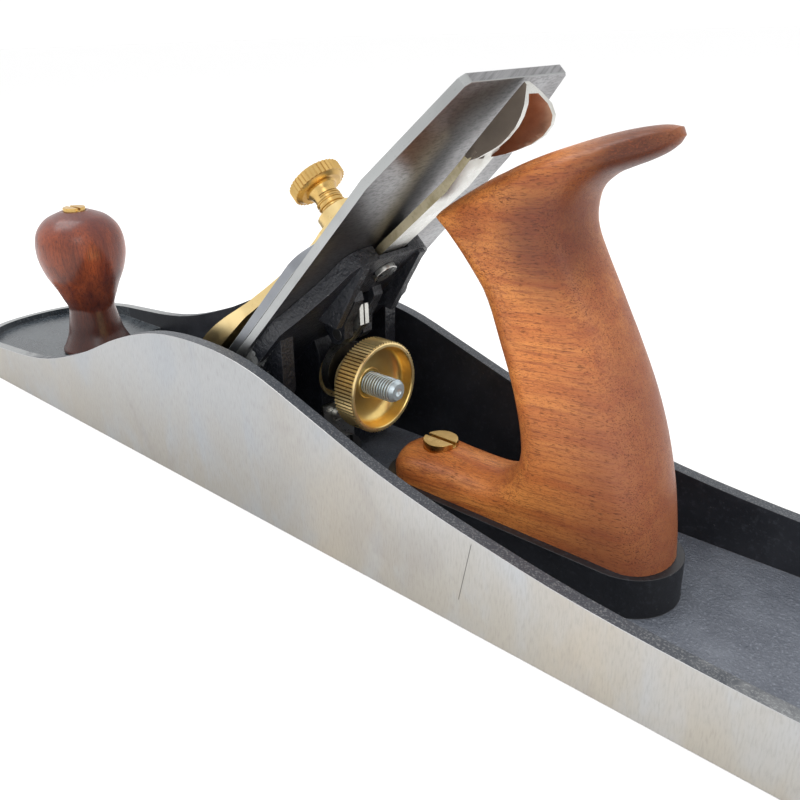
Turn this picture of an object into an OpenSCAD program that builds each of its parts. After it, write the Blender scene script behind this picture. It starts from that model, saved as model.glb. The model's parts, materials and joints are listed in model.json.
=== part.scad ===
// Long metal bench plane: a cast sole with side walls, a frog that carries the iron at the
// bed angle, a screw-driven depth adjuster, a lateral lever, a knob and a handle (tote).
// Frame: origin at the middle of the sole's underside, +X from the toe to the heel, +Z up.
// The left side, which is the one with the thumb side of the handle, faces -Y.

/* [Sole and walls] */
// Length of the sole from toe to heel
sole_l = 559; // [480:1:610]
// Width of the sole
sole_w = 75; // [72:0.5:84]
// Thickness of the sole
sole_t = 5.5; // [4.5:0.1:6.5]
// Thickness of the side walls and of the rims at both ends
wall_t = 4; // [3:0.1:4.8]
// Height of the side walls at their peak
cheek_h = 56; // [50:0.5:62]
// Distance from the toe to the peak of the side walls
cheek_from_toe = 211; // [200:1:222]
// Height of the rim at the toe
toe_rim_h = 14; // [13:0.5:18]
// Height of the rim at the heel
heel_rim_h = 15.5; // [13:0.5:18]
// Length of the curved part of the toe, seen from above
toe_curve_l = 40; // [30:1:50]
// Length of the curved part of the heel, seen from above
heel_curve_l = 30; // [24:1:50]
// Height of the raised floor under the knob
toe_pad_h = 11.5; // [9:0.5:12.5]

/* [Mouth and frog seat] */
// Distance from the toe to the cutting edge
edge_from_toe = 165.5; // [162:0.5:170]
// Angle of the bed above the sole
bed_angle = 45; // [44:0.5:46]
// Free gap in front of the cutting edge
mouth_gap = 2.6; // [1.8:0.1:4]
// Side clearance of the iron in the mouth
mouth_side_gap = 1; // [0.5:0.1:1.5]
// Height of the seat that carries the frog
seat_h = 9; // [8:0.5:10]
// Width of the seat that carries the frog
seat_w = 58; // [56:0.5:62]
// Height of the guide rib on the seat
guide_rib_h = 16; // [15:0.5:17]
// Width of the guide rib on the seat
guide_rib_w = 10; // [9:0.5:11]

/* [Frog] */
// Width of the frog's bed
frog_w = 57; // [54:0.5:59]
// Length of the bed, measured up the slope from the sole
frog_bed_l = 125.5; // [124:0.5:127]
// Thickness of the bed plate
bed_plate_t = 5; // [4.8:0.1:6]
// Height of the top of the frog's foot
foot_top_h = 20; // [19:0.5:21]
// Distance from the cutting edge to the rear face of the frog
frog_rear_from_edge = 65.6; // [64:0.2:67]
// Thickness of the frog's side cheeks
frog_cheek_t = 5; // [4:0.5:6]
// Step from the edge of the bed plate in to the side cheek
frog_cheek_step = 2.5; // [1.5:0.5:3]
// Width of the middle web that carries the depth screw
web_w = 12; // [11.5:0.5:14]
// Thread diameter of the two frog screws
frog_screw_d = 6; // [5:0.5:6.5]
// Distance between the two frog screws
frog_screw_gap = 30; // [29:0.5:31]
// Distance from the cutting edge to the frog screws
frog_screw_from_edge = 40; // [39:0.5:41]
// Travel of the frog each way from the middle
frog_travel = 1; // [0.5:0.1:1]

/* [Cutting iron and cap iron] */
// Width of the iron
iron_w = 60; // [58:0.5:62]
// Length of the iron
iron_l = 193; // [185:1:200]
// Thickness of the iron
iron_t = 2.8; // [2.2:0.1:3.4]
// Grinding angle of the iron
grind_angle = 28; // [25:1:32]
// Width of the iron across its top edge
iron_top_w = 41.5; // [36:0.5:50]
// Length of the iron's tapered upper end
iron_taper_l = 34; // [24:1:44]
// Width of the slot in the iron
iron_slot_w = 11.5; // [11.2:0.1:12]
// Thickness of the cap iron
cap_iron_t = 3; // [2.4:0.1:3.4]
// Radius of the cap iron's top corners
cap_iron_corner_r = 10; // [6:0.5:14]
// Height of the curl at the front of the cap iron, above the iron
curl_h = 8.4; // [7.5:0.1:9]
// Diameter of the cap iron screw's head
cap_screw_head_d = 15; // [13:0.5:16]

/* [Lever cap and thumbscrew] */
// Width of the lever cap at its front
lever_cap_w = 58; // [54:0.5:60]
// Radius of the lever cap's round upper end
lever_cap_end_r = 13; // [11:0.5:15]
// Radius of the boss around the thumbscrew
screw_boss_r = 6.6; // [6:0.1:8]
// Diameter of the thumbscrew's stem
thumb_stem_d = 9; // [8:0.1:10]
// Diameter of the thumbscrew's head
thumb_head_d = 17.8; // [16:0.1:20]
// Height of the thumbscrew's head
thumb_head_h = 5.4; // [4.4:0.1:7]
// Shank diameter of the lever cap screw
lever_screw_d = 7.9; // [7:0.1:8.2]

/* [Depth adjuster] */
// Height of the adjuster's axis above the sole
wheel_axis_h = 40.5; // [39.5:0.5:42]
// Outer diameter of the adjuster wheel
wheel_d = 30.4; // [28:0.2:32]
// Width of the wheel's knurled band
wheel_band_w = 8.5; // [8:0.1:9.5]
// Wall of the wheel's cup
wheel_wall_t = 1.8; // [1.2:0.1:2.4]
// Width of the groove for the yoke
wheel_groove_w = 5.6; // [5.2:0.1:6]
// Diameter of the groove for the yoke
wheel_groove_d = 11.4; // [11:0.1:12]
// Length of the wheel's hub between the groove and the band
wheel_hub_l = 6.2; // [5.6:0.1:7]
// Diameter of the wheel's hub
wheel_hub_d = 18; // [16:0.5:20]
// Diameter of the wheel's front flange
wheel_flange_d = 17; // [16:0.5:18]
// Diameter of the adjuster's stud
stud_d = 7.9; // [7:0.1:8.4]
// Length of stud that stands out behind the wheel's band
stud_tail_l = 5.9; // [4:0.1:8]
// Thickness of each yoke plate
yoke_t = 2; // [1.6:0.1:2.2]
// Diameter of the yoke's pin
yoke_pin_d = 4; // [3:0.1:4.4]

/* [Frog adjuster] */
// Height of the frog adjusting screw's axis
frog_adjuster_h = 13; // [12.8:0.1:13.4]
// Thread diameter of the frog adjusting screw
frog_adjuster_d = 4.6; // [4:0.1:4.8]
// Head diameter of the frog adjusting screw
frog_adjuster_head_d = 9.4; // [8.4:0.1:9.6]
// Thickness of the clip that holds the adjusting screw
clip_t = 1.4; // [1:0.1:1.6]

/* [Lateral lever] */
// Width of the lever
lateral_w = 9.6; // [8.5:0.1:10.4]
// Thickness of the lever
lateral_t = 2.6; // [2:0.1:2.8]
// Diameter of the roller at the lever's foot
roller_d = 8; // [7:0.1:8.6]
// Length of the thumb tab
tab_l = 22.2; // [20:0.2:24]
// Depth of the thumb tab's wings
tab_depth = 7.5; // [6:0.1:8.5]
// Thickness of the thumb tab's wings
tab_wall_t = 1.4; // [1.2:0.1:1.8]

/* [Knob] */
// Distance from the toe to the knob's axis
knob_from_toe = 68; // [66:0.5:72]
// Height of the knob
knob_h = 64.5; // [60:0.5:70]
// Diameter of the knob's ball
knob_d = 38.4; // [34:0.2:42]
// Diameter of the knob's foot
knob_foot_d = 32; // [28:0.5:36]
// Diameter of the knob's neck
knob_neck_d = 20.6; // [18:0.2:24]
// Diameter of the rods that hold the knob and the handle
rod_d = 5.6; // [5:0.1:6]
// Diameter of the round brass nuts
nut_d = 9.6; // [8.6:0.1:11]

/* [Handle] */
// Distance from the toe to the front of the handle's foot
tote_from_toe = 263; // [258:0.5:266]
// Length of the handle's foot
tote_foot_l = 92.2; // [90:0.2:95]
// Height of the boss under the handle, above the sole's underside
boss_h = 17.5; // [16:0.5:19]
// Width of the boss under the handle
boss_w = 28.8; // [28:0.2:32]
// Thickness of the handle
tote_w = 24; // [22:0.5:26]
// Radius that rounds the handle's edges
tote_round_r = 9.5; // [7:0.5:10]
// Height of the horn's tip above the boss
tote_h = 107.6; // [104:0.2:112]
// Lean of the handle's rod from upright
tote_rod_lean = 19.5; // [18.5:0.5:20.5]
// Head diameter of the handle's front screw
tote_screw_head_d = 11; // [10:0.2:12]

/* [Hidden] */
$fn = 64;

// Small distances shared by many pieces
over = 1;             // how far a cut runs past the face it opens
fit = 0.05;           // radial clearance of a shaft or screw in its hole
seat_gap = 0.05;      // clearance between a part and the face that it slides on
slot_gap = 0.6;       // side clearance of a screw in a long slot
edge_lift = 0.2;      // height of the cutting edge above the sole at rest
arc_steps = 28;       // points along each end curve of the sole
spline_steps = 5;     // points between two control points of a smooth outline

// Places along X
toe_x = -sole_l / 2;
edge_x = toe_x + edge_from_toe;
bed_x = edge_x + iron_t / sin(bed_angle);
knob_x = toe_x + knob_from_toe;
tote_x = toe_x + tote_from_toe;
frog_rear_x = edge_x + frog_rear_from_edge;
frog_screw_x = edge_x + frog_screw_from_edge;

// Depth adjuster, from the frog's rear face to the heel
wheel_gap = 1.6;
flange_t = 2;
groove_x0 = frog_rear_x + wheel_gap + flange_t;
groove_x = groove_x0 + wheel_groove_w / 2;
band_x0 = groove_x0 + wheel_groove_w + wheel_hub_l;
wheel_rear_x = band_x0 + wheel_band_w;
stud_tip_x = wheel_rear_x + stud_tail_l;
stud_root_l = 10;

// Stations up the bed, measured along the slope from the sole
iron_tip_a = (edge_lift - iron_t * cos(bed_angle)) / sin(bed_angle);
iron_top_a = iron_tip_a + iron_l;
lever_screw_a = 58;
cap_screw_a = 78;
finger_a = 97;
roller_a = 108;
lateral_pivot_a = 117.5;
thumb_a = 115;
cap_iron_end_a = 125.5;
cap_iron_front_h = iron_t + curl_h;

// Yoke
yoke_pivot_x = groove_x + 3.2;
yoke_pivot_z = wheel_axis_h + 16.8;
fork_w = 3.4;
fork_in_r = wheel_groove_d / 2 + 0.4;
// Fork: angle from the top, and its width outside the groove
fork_widths = [[0, 5.6], [22, 5.7], [42, 5.5], [62, 4.7], [82, 3.6], [100, 2.7], [112, 2],
    [119, 1.2], [122, 0.3]];

// Frog details
foot_front_x = bed_x + seat_h / tan(bed_angle);
lug_t = 4;
lug_gap = 0.3;
rib_h = 11.4;
rib_y = 11;
groove_deep = 3.6;
finger_slot_l = 17;
screw_pocket_deep = 3.7;
guide_gap = 0.4;

// Functions
function bed_point(a, h) = [bed_x + a * cos(bed_angle) - h * sin(bed_angle),
    a * sin(bed_angle) + h * cos(bed_angle)];
function between(p0, p1, p2, p3, t) = 0.5 * (2 * p1 + (p2 - p0) * t
    + (2 * p0 - 5 * p1 + 4 * p2 - p3) * t * t
    + (3 * p1 - p0 - 3 * p2 + p3) * t * t * t);
function smooth(pts, steps = spline_steps) = concat(
    [for (i = [0 : len(pts) - 2]) for (k = [0 : steps - 1])
        between(pts[max(i - 1, 0)], pts[i], pts[i + 1],
            pts[min(i + 2, len(pts) - 1)], k / steps)],
    [pts[len(pts) - 1]]);
function mirror_y(pts) = [for (i = [len(pts) - 1 : -1 : 0]) [pts[i][0], -pts[i][1]]];

// Half of an end curve: a flattened oval of the given length and half width
curve_power = 2.3;
function end_curve(l, half_w) = [for (i = [0 : arc_steps])
    let (s = sin(90 * i / arc_steps))
    [l * (1 - pow(max(0, 1 - pow(s, curve_power)), 1 / curve_power)), half_w * s]];

// Placing helpers
module on_bed() {
    translate([bed_x, 0, 0]) rotate([0, -bed_angle, 0]) children();
}
module side_slab(pts, y0, y1) {
    translate([0, y1, 0]) rotate([90, 0, 0]) linear_extrude(y1 - y0) polygon(pts);
}
module mirrored_y() {
    children();
    mirror([0, 1, 0]) children();
}
module slot_2d(x0, x1, w) {
    translate([x0, 0]) circle(d = w);
    translate([x1, 0]) circle(d = w);
    translate([x0, -w / 2]) square([x1 - x0, w]);
}
module rod_x(x0, x1, d) {
    translate([x0, 0, 0]) rotate([0, 90, 0]) cylinder(d = d, h = x1 - x0);
}

// Sole, side walls, frog seat and bosses in one casting
function rim_points() = let (
    front = [[-171, 0.30], [-124, 0.385], [-86, 0.583], [-54, 0.822], [-27, 0.965]],
    rear = [[24, 0.951], [50, 0.802], [77, 0.645], [108, 0.522], [148, 0.42], [210, 0.36]])
    concat([[toe_x - over, toe_rim_h]],
        [for (p = front) [toe_x + cheek_from_toe + p[0], cheek_h * p[1]]],
        [[toe_x + cheek_from_toe, cheek_h]],
        [for (p = rear) [toe_x + cheek_from_toe + p[0], cheek_h * p[1]]],
        [[-toe_x + over, heel_rim_h]]);

module plan_outline(inset) {
    half = sole_w / 2 - inset;
    toe = [for (p = end_curve(toe_curve_l - inset, half)) [toe_x + inset + p[0], p[1]]];
    heel = [for (p = end_curve(heel_curve_l - inset, half)) [-toe_x - inset - p[0], p[1]]];
    upper = concat(toe, [for (i = [len(heel) - 1 : -1 : 0]) heel[i]]);
    polygon(concat(upper, [for (i = [len(upper) - 2 : -1 : 1])
        [upper[i][0], -upper[i][1]]]));
}
module casting_blank() {
    intersection() {
        linear_extrude(cheek_h + over) plan_outline(0);
        side_slab(concat(smooth(rim_points()), [[-toe_x + over, 0], [toe_x - over, 0]]),
            -sole_w / 2 - over, sole_w / 2 + over);
    }
}
module toe_pad() {
    pad_r = 25;
    intersection() {
        linear_extrude(toe_pad_h) plan_outline(wall_t / 2);
        translate([0, 0, sole_t / 2]) union() {
            translate([toe_x, -sole_w / 2, 0])
                cube([knob_from_toe, sole_w, toe_pad_h - sole_t / 2]);
            translate([knob_x, 0, 0]) cylinder(r = pad_r, h = toe_pad_h - sole_t / 2);
        }
    }
}
module tote_boss() {
    r = boss_w / 2;
    lip = 2.4;
    translate([0, 0, sole_t / 2]) linear_extrude(boss_h - sole_t / 2)
        slot_2d(tote_x + r - lip, tote_x + tote_foot_l - r + lip, boss_w);
}
module frog_seat() {
    seat_front = bed_x + frog_travel + seat_gap;
    seat_rear = frog_rear_x - 5;
    side_slab([[seat_front, 0], [seat_front + seat_h / tan(bed_angle), seat_h],
        [seat_rear, seat_h], [seat_rear, 0]], -seat_w / 2, seat_w / 2);
    side_slab([[foot_front_x + 9, seat_h - over], [foot_front_x + 15, guide_rib_h],
        [seat_rear, guide_rib_h], [seat_rear, seat_h - over]],
        -guide_rib_w / 2, guide_rib_w / 2);
}
module mouth_cut() {
    half = iron_w / 2 + mouth_side_gap;
    rear = bed_x + frog_travel + seat_gap;
    deep = seat_h + 4;
    side_slab([[edge_x - mouth_gap, -over], [rear - over / tan(bed_angle), -over],
        [rear + deep / tan(bed_angle), deep], [edge_x - mouth_gap, deep]], -half, half);
}
module body() {
    color([0.72, 0.72, 0.70]) difference() {
        union() {
            difference() {
                casting_blank();
                translate([0, 0, sole_t]) linear_extrude(cheek_h) plan_outline(wall_t);
            }
            toe_pad();
            tote_boss();
            frog_seat();
        }
        mouth_cut();
        translate([knob_x, 0, 2]) cylinder(d = rod_d + 2 * fit, h = toe_pad_h);
        for (y = [-1, 1])
            translate([frog_screw_x, y * frog_screw_gap / 2, 2])
                cylinder(d = frog_screw_d + 2 * fit, h = seat_h);
        translate([0, 0, frog_adjuster_h])
            rod_x(frog_rear_x - 26, frog_rear_x, frog_adjuster_d + 2 * fit);
        tote_rod_line() translate([0, 0, -rod_in_boss]) cylinder(d = rod_d + 2 * fit,
            h = rod_in_boss + 5);
        translate([tote_screw_x, 0, 2]) cylinder(d = tote_screw_d + 2 * fit, h = boss_h);
    }
}

// Frog: bed plate, foot, cheeks, middle web and yoke lugs
// Shoulder of the bed: distance down from the top of the bed, and how far the edge is drawn in
frog_shoulder = [[38, 0], [31.5, 0.2], [26, 3.2], [21.5, 5.4], [16.5, 7.6], [11.2, 9.8],
    [5.8, 11], [2.9, 12], [0.9, 14.8], [0, 18.6]];
function frog_half() = smooth(concat([[0, frog_w / 2]],
    [for (p = frog_shoulder) [frog_bed_l - p[0], frog_w / 2 - p[1]]]));
module frog_bed_outline() {
    half = frog_half();
    polygon(concat(half, mirror_y(half)));
}
module frog_mass() {
    cheek_y = frog_w / 2 - frog_cheek_step;
    on_bed() translate([0, 0, -bed_plate_t]) linear_extrude(bed_plate_t - seat_gap)
        frog_bed_outline();
    side_slab([[foot_front_x + 2 * seat_gap, seat_h],
        bed_point(foot_top_h / sin(bed_angle), -seat_gap),
        [frog_rear_x, foot_top_h], [frog_rear_x, seat_h]], -frog_w / 2, frog_w / 2);
    mirrored_y() side_slab([bed_point(24, -2), [frog_rear_x, foot_top_h - over],
        [frog_rear_x, 31], bed_point(77, -17), bed_point(91, -bed_plate_t + over),
        bed_point(91, -2)], cheek_y - frog_cheek_t, cheek_y);
    // Ribs under the bed's upper end, beside the lateral lever
    mirrored_y() side_slab([bed_point(95, -bed_plate_t + over), bed_point(100, -rib_h),
        bed_point(frog_bed_l - 1.5, -bed_plate_t - over),
        bed_point(frog_bed_l - 1.5, -bed_plate_t + over)], rib_y, rib_y + 2.6);
    side_slab([bed_point(24, -2), [frog_rear_x, foot_top_h - over],
        [frog_rear_x, wheel_axis_h + 7.5], bed_point(80, -bed_plate_t + over),
        bed_point(80, -2)], -web_w / 2, web_w / 2);
    mirrored_y() side_slab([bed_point(84, -bed_plate_t + over),
        [yoke_pivot_x - 5.5, yoke_pivot_z + 1], [yoke_pivot_x - 2.6, yoke_pivot_z - 3.3],
        [yoke_pivot_x + 0.8, yoke_pivot_z - 3.5], [yoke_pivot_x + 3.4, yoke_pivot_z - 1],
        [yoke_pivot_x + 3.8, yoke_pivot_z + 4], bed_point(106, -rib_h + 4),
        bed_point(108, -bed_plate_t + over)],
        yoke_t + lug_gap, yoke_t + lug_gap + lug_t);
}
module frog_screw_pockets() {
    washer_slot = 14;
    for (y = [-1, 1]) translate([0, y * frog_screw_gap / 2, 0]) {
        translate([0, 0, foot_top_h]) linear_extrude(60)
            slot_2d(frog_screw_x - frog_travel - slot_gap,
                frog_screw_x + frog_travel + slot_gap, washer_slot);
        translate([0, 0, seat_h - over]) linear_extrude(foot_top_h)
            slot_2d(frog_screw_x - frog_travel - slot_gap,
                frog_screw_x + frog_travel + slot_gap, frog_screw_d + slot_gap);
    }
}
module frog() {
    color([0.09, 0.09, 0.10]) difference() {
        intersection() {
            frog_mass();
            translate([bed_x - over, -frog_w / 2, seat_h]) cube([frog_bed_l, frog_w, frog_bed_l]);
        }
        frog_screw_pockets();
        // Channel over the guide rib, and the pocket for the adjusting screw's collar
        translate([foot_front_x - over, -guide_rib_w / 2 - guide_gap, seat_h - over])
            cube([frog_rear_x - foot_front_x + 2 * over, guide_rib_w + 2 * guide_gap,
                guide_rib_h - seat_h + over + guide_gap]);
        translate([0, 0, frog_adjuster_h])
            rod_x(frog_rear_x - 6, frog_rear_x + over, frog_adjuster_head_d + 1);
        // Lever cap screw, cap iron screw head, yoke, roller and lateral lever
        on_bed() {
            translate([lever_screw_a, 0, -15]) cylinder(d = lever_screw_d + 2 * fit, h = 20);
            translate([0, 0, -screw_pocket_deep]) linear_extrude(6)
                slot_2d(cap_screw_a - 3, cap_screw_a + 3, cap_screw_head_d + 2);
            translate([finger_a - finger_slot_l / 2, -yoke_t - lug_gap, -30])
                cube([finger_slot_l, 2 * (yoke_t + lug_gap), 40]);
            translate([0, 0, -groove_deep]) linear_extrude(6) lateral_groove();
            translate([lateral_pivot_a, 0, -bed_plate_t - over])
                cylinder(d = 5 + 2 * fit, h = bed_plate_t + 2 * over);
        }
        translate([0, 0, wheel_axis_h])
            rod_x(frog_rear_x - stud_root_l, frog_rear_x + over, stud_d + 2 * fit);
        translate([yoke_pivot_x, 0, yoke_pivot_z]) rotate([90, 0, 0])
            cylinder(d = yoke_pin_d + 2 * fit, h = 40, center = true);
        translate([0, 0, clip_screw_z])
            rod_x(frog_rear_x - 7, frog_rear_x + over, clip_screw_d + 2 * fit);
    }
}
module lateral_groove() {
    near = lateral_w / 2 + 1;
    far = lateral_w / 2 + 1.8;
    polygon([[roller_a - 7.5, -near - 0.6], [lateral_pivot_a, -near],
        [frog_bed_l + over, -far], [frog_bed_l + over, far], [lateral_pivot_a, near],
        [roller_a - 7.5, near + 0.6]]);
}

// Two screws and washers that clamp the frog to its seat
washer_t = 1;
module frog_screws() {
    head_d = 10;
    head_h = 4.6;
    color([0.62, 0.62, 0.60]) for (y = [-1, 1])
        translate([frog_screw_x, y * frog_screw_gap / 2, 0]) {
            translate([0, 0, 3]) cylinder(d = frog_screw_d, h = foot_top_h);
            translate([0, 0, foot_top_h + washer_t]) difference() {
                cylinder(d = head_d, h = head_h);
                translate([-head_d, -0.7, head_h - 1.8]) cube([2 * head_d, 1.4, 3]);
            }
        }
}
module frog_washers() {
    color([0.62, 0.62, 0.60]) for (y = [-1, 1])
        translate([frog_screw_x, y * frog_screw_gap / 2, foot_top_h]) difference() {
            cylinder(d = 12.5, h = washer_t);
            translate([0, 0, -over]) cylinder(d = frog_screw_d + 0.4, h = washer_t + 2 * over);
        }
}

// Adjusting screw behind the frog, its clip and the clip's screw
clip_screw_d = 4;
clip_screw_z = foot_top_h + 4.6;
clip_gap = 0.25;
module frog_adjusting_screw() {
    x = frog_rear_x;
    neck_d = 6;
    color([0.30, 0.30, 0.30]) translate([0, 0, frog_adjuster_h]) difference() {
        union() {
            rod_x(x - 24, x - clip_gap, frog_adjuster_d);
            rod_x(x - clip_gap - 1.8, x - clip_gap, frog_adjuster_head_d);
            rod_x(x - clip_gap - over, x + clip_t + clip_gap + over, neck_d);
            rod_x(x + clip_t + clip_gap, x + clip_t + clip_gap + 5.4,
                frog_adjuster_head_d);
        }
        translate([x + clip_t + clip_gap + 3.8, -0.7, -frog_adjuster_head_d])
            cube([3, 1.4, 2 * frog_adjuster_head_d]);
    }
}
module frog_clip() {
    clip_w = 14;
    clip_low = 9.4;
    clip_top = clip_screw_z + 5;
    color([0.55, 0.55, 0.54]) difference() {
        translate([frog_rear_x, -clip_w / 2, clip_low])
            cube([clip_t, clip_w, clip_top - clip_low]);
        translate([0, 0, frog_adjuster_h]) {
            rod_x(frog_rear_x - over, frog_rear_x + clip_t + over, 6.8);
            translate([frog_rear_x - over, -3.4, -10]) cube([clip_t + 2 * over, 6.8, 10]);
        }
        translate([0, 0, clip_screw_z])
            rod_x(frog_rear_x - over, frog_rear_x + clip_t + over, clip_screw_d + 2 * fit);
    }
}
module frog_clip_screw() {
    head_d = 7.6;
    color([0.80, 0.80, 0.78]) translate([0, 0, clip_screw_z]) difference() {
        union() {
            rod_x(frog_rear_x - 6, frog_rear_x + clip_t + over, clip_screw_d);
            rod_x(frog_rear_x + clip_t, frog_rear_x + clip_t + 2.3, head_d);
        }
        translate([frog_rear_x + clip_t + 1.1, -head_d, -0.5])
            cube([3, 2 * head_d, 1]);
    }
}

// Depth adjuster: stud, cupped wheel, forked yoke and its pin
module adjuster_stud() {
    chamfer = 1.2;
    root_x = frog_rear_x - stud_root_l + over;
    color([0.62, 0.63, 0.64]) translate([root_x, 0, wheel_axis_h]) rotate([0, 90, 0])
        rotate_extrude() polygon([[0, 0], [stud_d / 2, 0],
            [stud_d / 2, stud_tip_x - root_x - chamfer],
            [stud_d / 2 - chamfer, stud_tip_x - root_x],
            [1.2, stud_tip_x - root_x], [0, stud_tip_x - root_x - 0.8]]);
}
module adjuster_wheel() {
    r = wheel_d / 2;
    bore = stud_d / 2 + fit;
    len = wheel_rear_x - groove_x0 + flange_t;
    cup_r = r - wheel_wall_t;
    hub = flange_t + wheel_groove_w;
    band = len - wheel_band_w;
    web = 1.7;
    color([0.80, 0.62, 0.28]) translate([groove_x0 - flange_t, 0, wheel_axis_h])
        rotate([0, 90, 0]) rotate_extrude() polygon(concat(
            [[bore, 0], [wheel_flange_d / 2 - 0.6, 0], [wheel_flange_d / 2, 0.6],
            [wheel_flange_d / 2, flange_t], [wheel_groove_d / 2, flange_t],
            [wheel_groove_d / 2, hub], [wheel_hub_d / 2 - 0.6, hub],
            [wheel_hub_d / 2, hub + 0.6], [wheel_hub_d / 2, band], [r - 1, band],
            [r, band + 0.8],
            [r, len - 0.5], [r - 0.5, len], [cup_r + 0.3, len], [cup_r, len - 0.4]],
            smooth([[cup_r, band + 4.6], [cup_r - 1.2, band + 2.7],
                [cup_r - 4, band + web + 0.1], [bore + 3, band + web]]),
            [[bore, band + web]]));
}
module yoke_half() {
    tip_half = 2.9;
    px = yoke_pivot_x;
    pz = yoke_pivot_z;
    // Upper plate with the finger that reaches into the cap iron
    side_slab([[px - 4.9, pz - 5.8], [px - 1.4, pz - 5.3], [px + 1.3, pz - 2.8],
        [px + 4.6, pz + 1.3], [px + 6.5, pz + 3.2], [px + 6.5, pz + 10],
        bed_point(finger_a + 3.4, -bed_plate_t - over),
        bed_point(finger_a + tip_half, 0), bed_point(finger_a + tip_half - 0.6,
            iron_t + cap_iron_t - 0.5),
        bed_point(finger_a - tip_half + 0.6, iron_t + cap_iron_t - 0.5),
        bed_point(finger_a - tip_half, 0), bed_point(finger_a - 3.4, -bed_plate_t - over),
        [px - 4.6, pz + 2.7], [px - 5.6, pz - 1.3]], 0, yoke_t);
    // Fork plate across the wheel's groove, as wide as the groove allows
    outer = smooth([for (p = fork_widths) (fork_in_r + p[1]) * [sin(p[0]), cos(p[0])]], 3);
    inner = [for (t = [120 : -6 : 0]) fork_in_r * [sin(t), cos(t)]];
    translate([groove_x - fork_w / 2, 0, wheel_axis_h]) rotate([90, 0, 90])
        linear_extrude(fork_w) polygon(concat(outer, inner));
}
module yoke_bored() {
    difference() {
        yoke_half();
        translate([yoke_pivot_x, 0, yoke_pivot_z]) rotate([90, 0, 0])
            cylinder(d = yoke_pin_d + 2 * fit, h = 20, center = true);
    }
}
module yoke_left() {
    color([0.72, 0.70, 0.66]) mirror([0, 1, 0]) yoke_bored();
}
module yoke_right() {
    color([0.72, 0.70, 0.66]) yoke_bored();
}
module yoke_pin() {
    l = 2 * (yoke_t + lug_gap + lug_t);
    color([0.55, 0.55, 0.54]) translate([yoke_pivot_x, 0, yoke_pivot_z])
        rotate([90, 0, 0]) cylinder(d = yoke_pin_d, h = l, center = true);
}

// Lateral lever with its folded thumb tab, its pivot and its roller
bar_h = -0.7;          // front face of the lever's foot, below the bed
bar_back = 2.9;        // how far the lever steps back from the iron
web_h = -0.9;          // front face of the thumb tab's web at its top
web_t = 1.5;
tab_tip_a = iron_top_a - 0.6;
tab_foot_a = tab_tip_a - tab_l;
bar_end_a = tab_foot_a + 4;
module bar_side() {
    low = bar_h - bar_back;
    polygon([[roller_a - 6, bar_h], [lateral_pivot_a + 9, bar_h],
        [bar_end_a - 14, low], [bar_end_a, low], [bar_end_a, low - lateral_t],
        [bar_end_a - 15, low - lateral_t], [lateral_pivot_a + 8, bar_h - lateral_t],
        [roller_a - 6, bar_h - lateral_t]]);
}
// Stations of the tab, as shares of its length: the wing's depth as a share of the full depth,
// and the places of its near and far sides across the lever
tab_stations = [[0, 0.1, -4.8, 4.8], [0.05, 0.36, -4.6, 5], [0.12, 0.56, -4.25, 5.2],
    [0.21, 0.78, -3.8, 5.4], [0.35, 0.93, -3.1, 5.5], [0.5, 1, -2.3, 5.5],
    [0.65, 1, -1.5, 5.3], [0.76, 0.94, -0.9, 5], [0.86, 0.79, -0.3, 4.5],
    [0.94, 0.64, 0.2, 3.8], [1, 0.52, 0.7, 2.8]];
function tab_base_h(t) = let (foot_h = bar_h - bar_back - 1.2) foot_h + (web_h - foot_h) * t;
module web_side() {
    low = bar_h - bar_back;
    polygon([[tab_foot_a - 12, low], [tab_foot_a - 1, low], [tab_tip_a, web_h],
        [tab_tip_a, web_h - web_t], [tab_foot_a + 1, low - lateral_t + 0.6],
        [tab_foot_a - 12, low - lateral_t + 0.6]]);
}
module bar_plan() {
    corner = 2.4;
    slot_2d(roller_a, bar_end_a - lateral_w, lateral_w);
    translate([roller_a, -lateral_w / 2]) square([bar_end_a - roller_a - corner, lateral_w]);
    for (y = [-1, 1]) translate([bar_end_a - corner, y * (lateral_w / 2 - corner)])
        circle(r = corner);
    translate([bar_end_a - 2 * corner, corner - lateral_w / 2])
        square([2 * corner, lateral_w - 2 * corner]);
}
// Outline of the tab seen square to the iron, drawn in by the thickness of its wall or not at all
module tab_plan(inset) {
    half_gap = 0.2;
    near = [for (p = tab_stations) [tab_foot_a + p[0] * (tab_l - inset),
        min(p[2] + inset, (p[2] + p[3]) / 2 - half_gap)]];
    far = [for (p = tab_stations) [tab_foot_a + p[0] * (tab_l - inset),
        max(p[3] - inset, (p[2] + p[3]) / 2 + half_gap)]];
    polygon(concat(near, [for (i = [len(far) - 1 : -1 : 0]) far[i]]));
}
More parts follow.
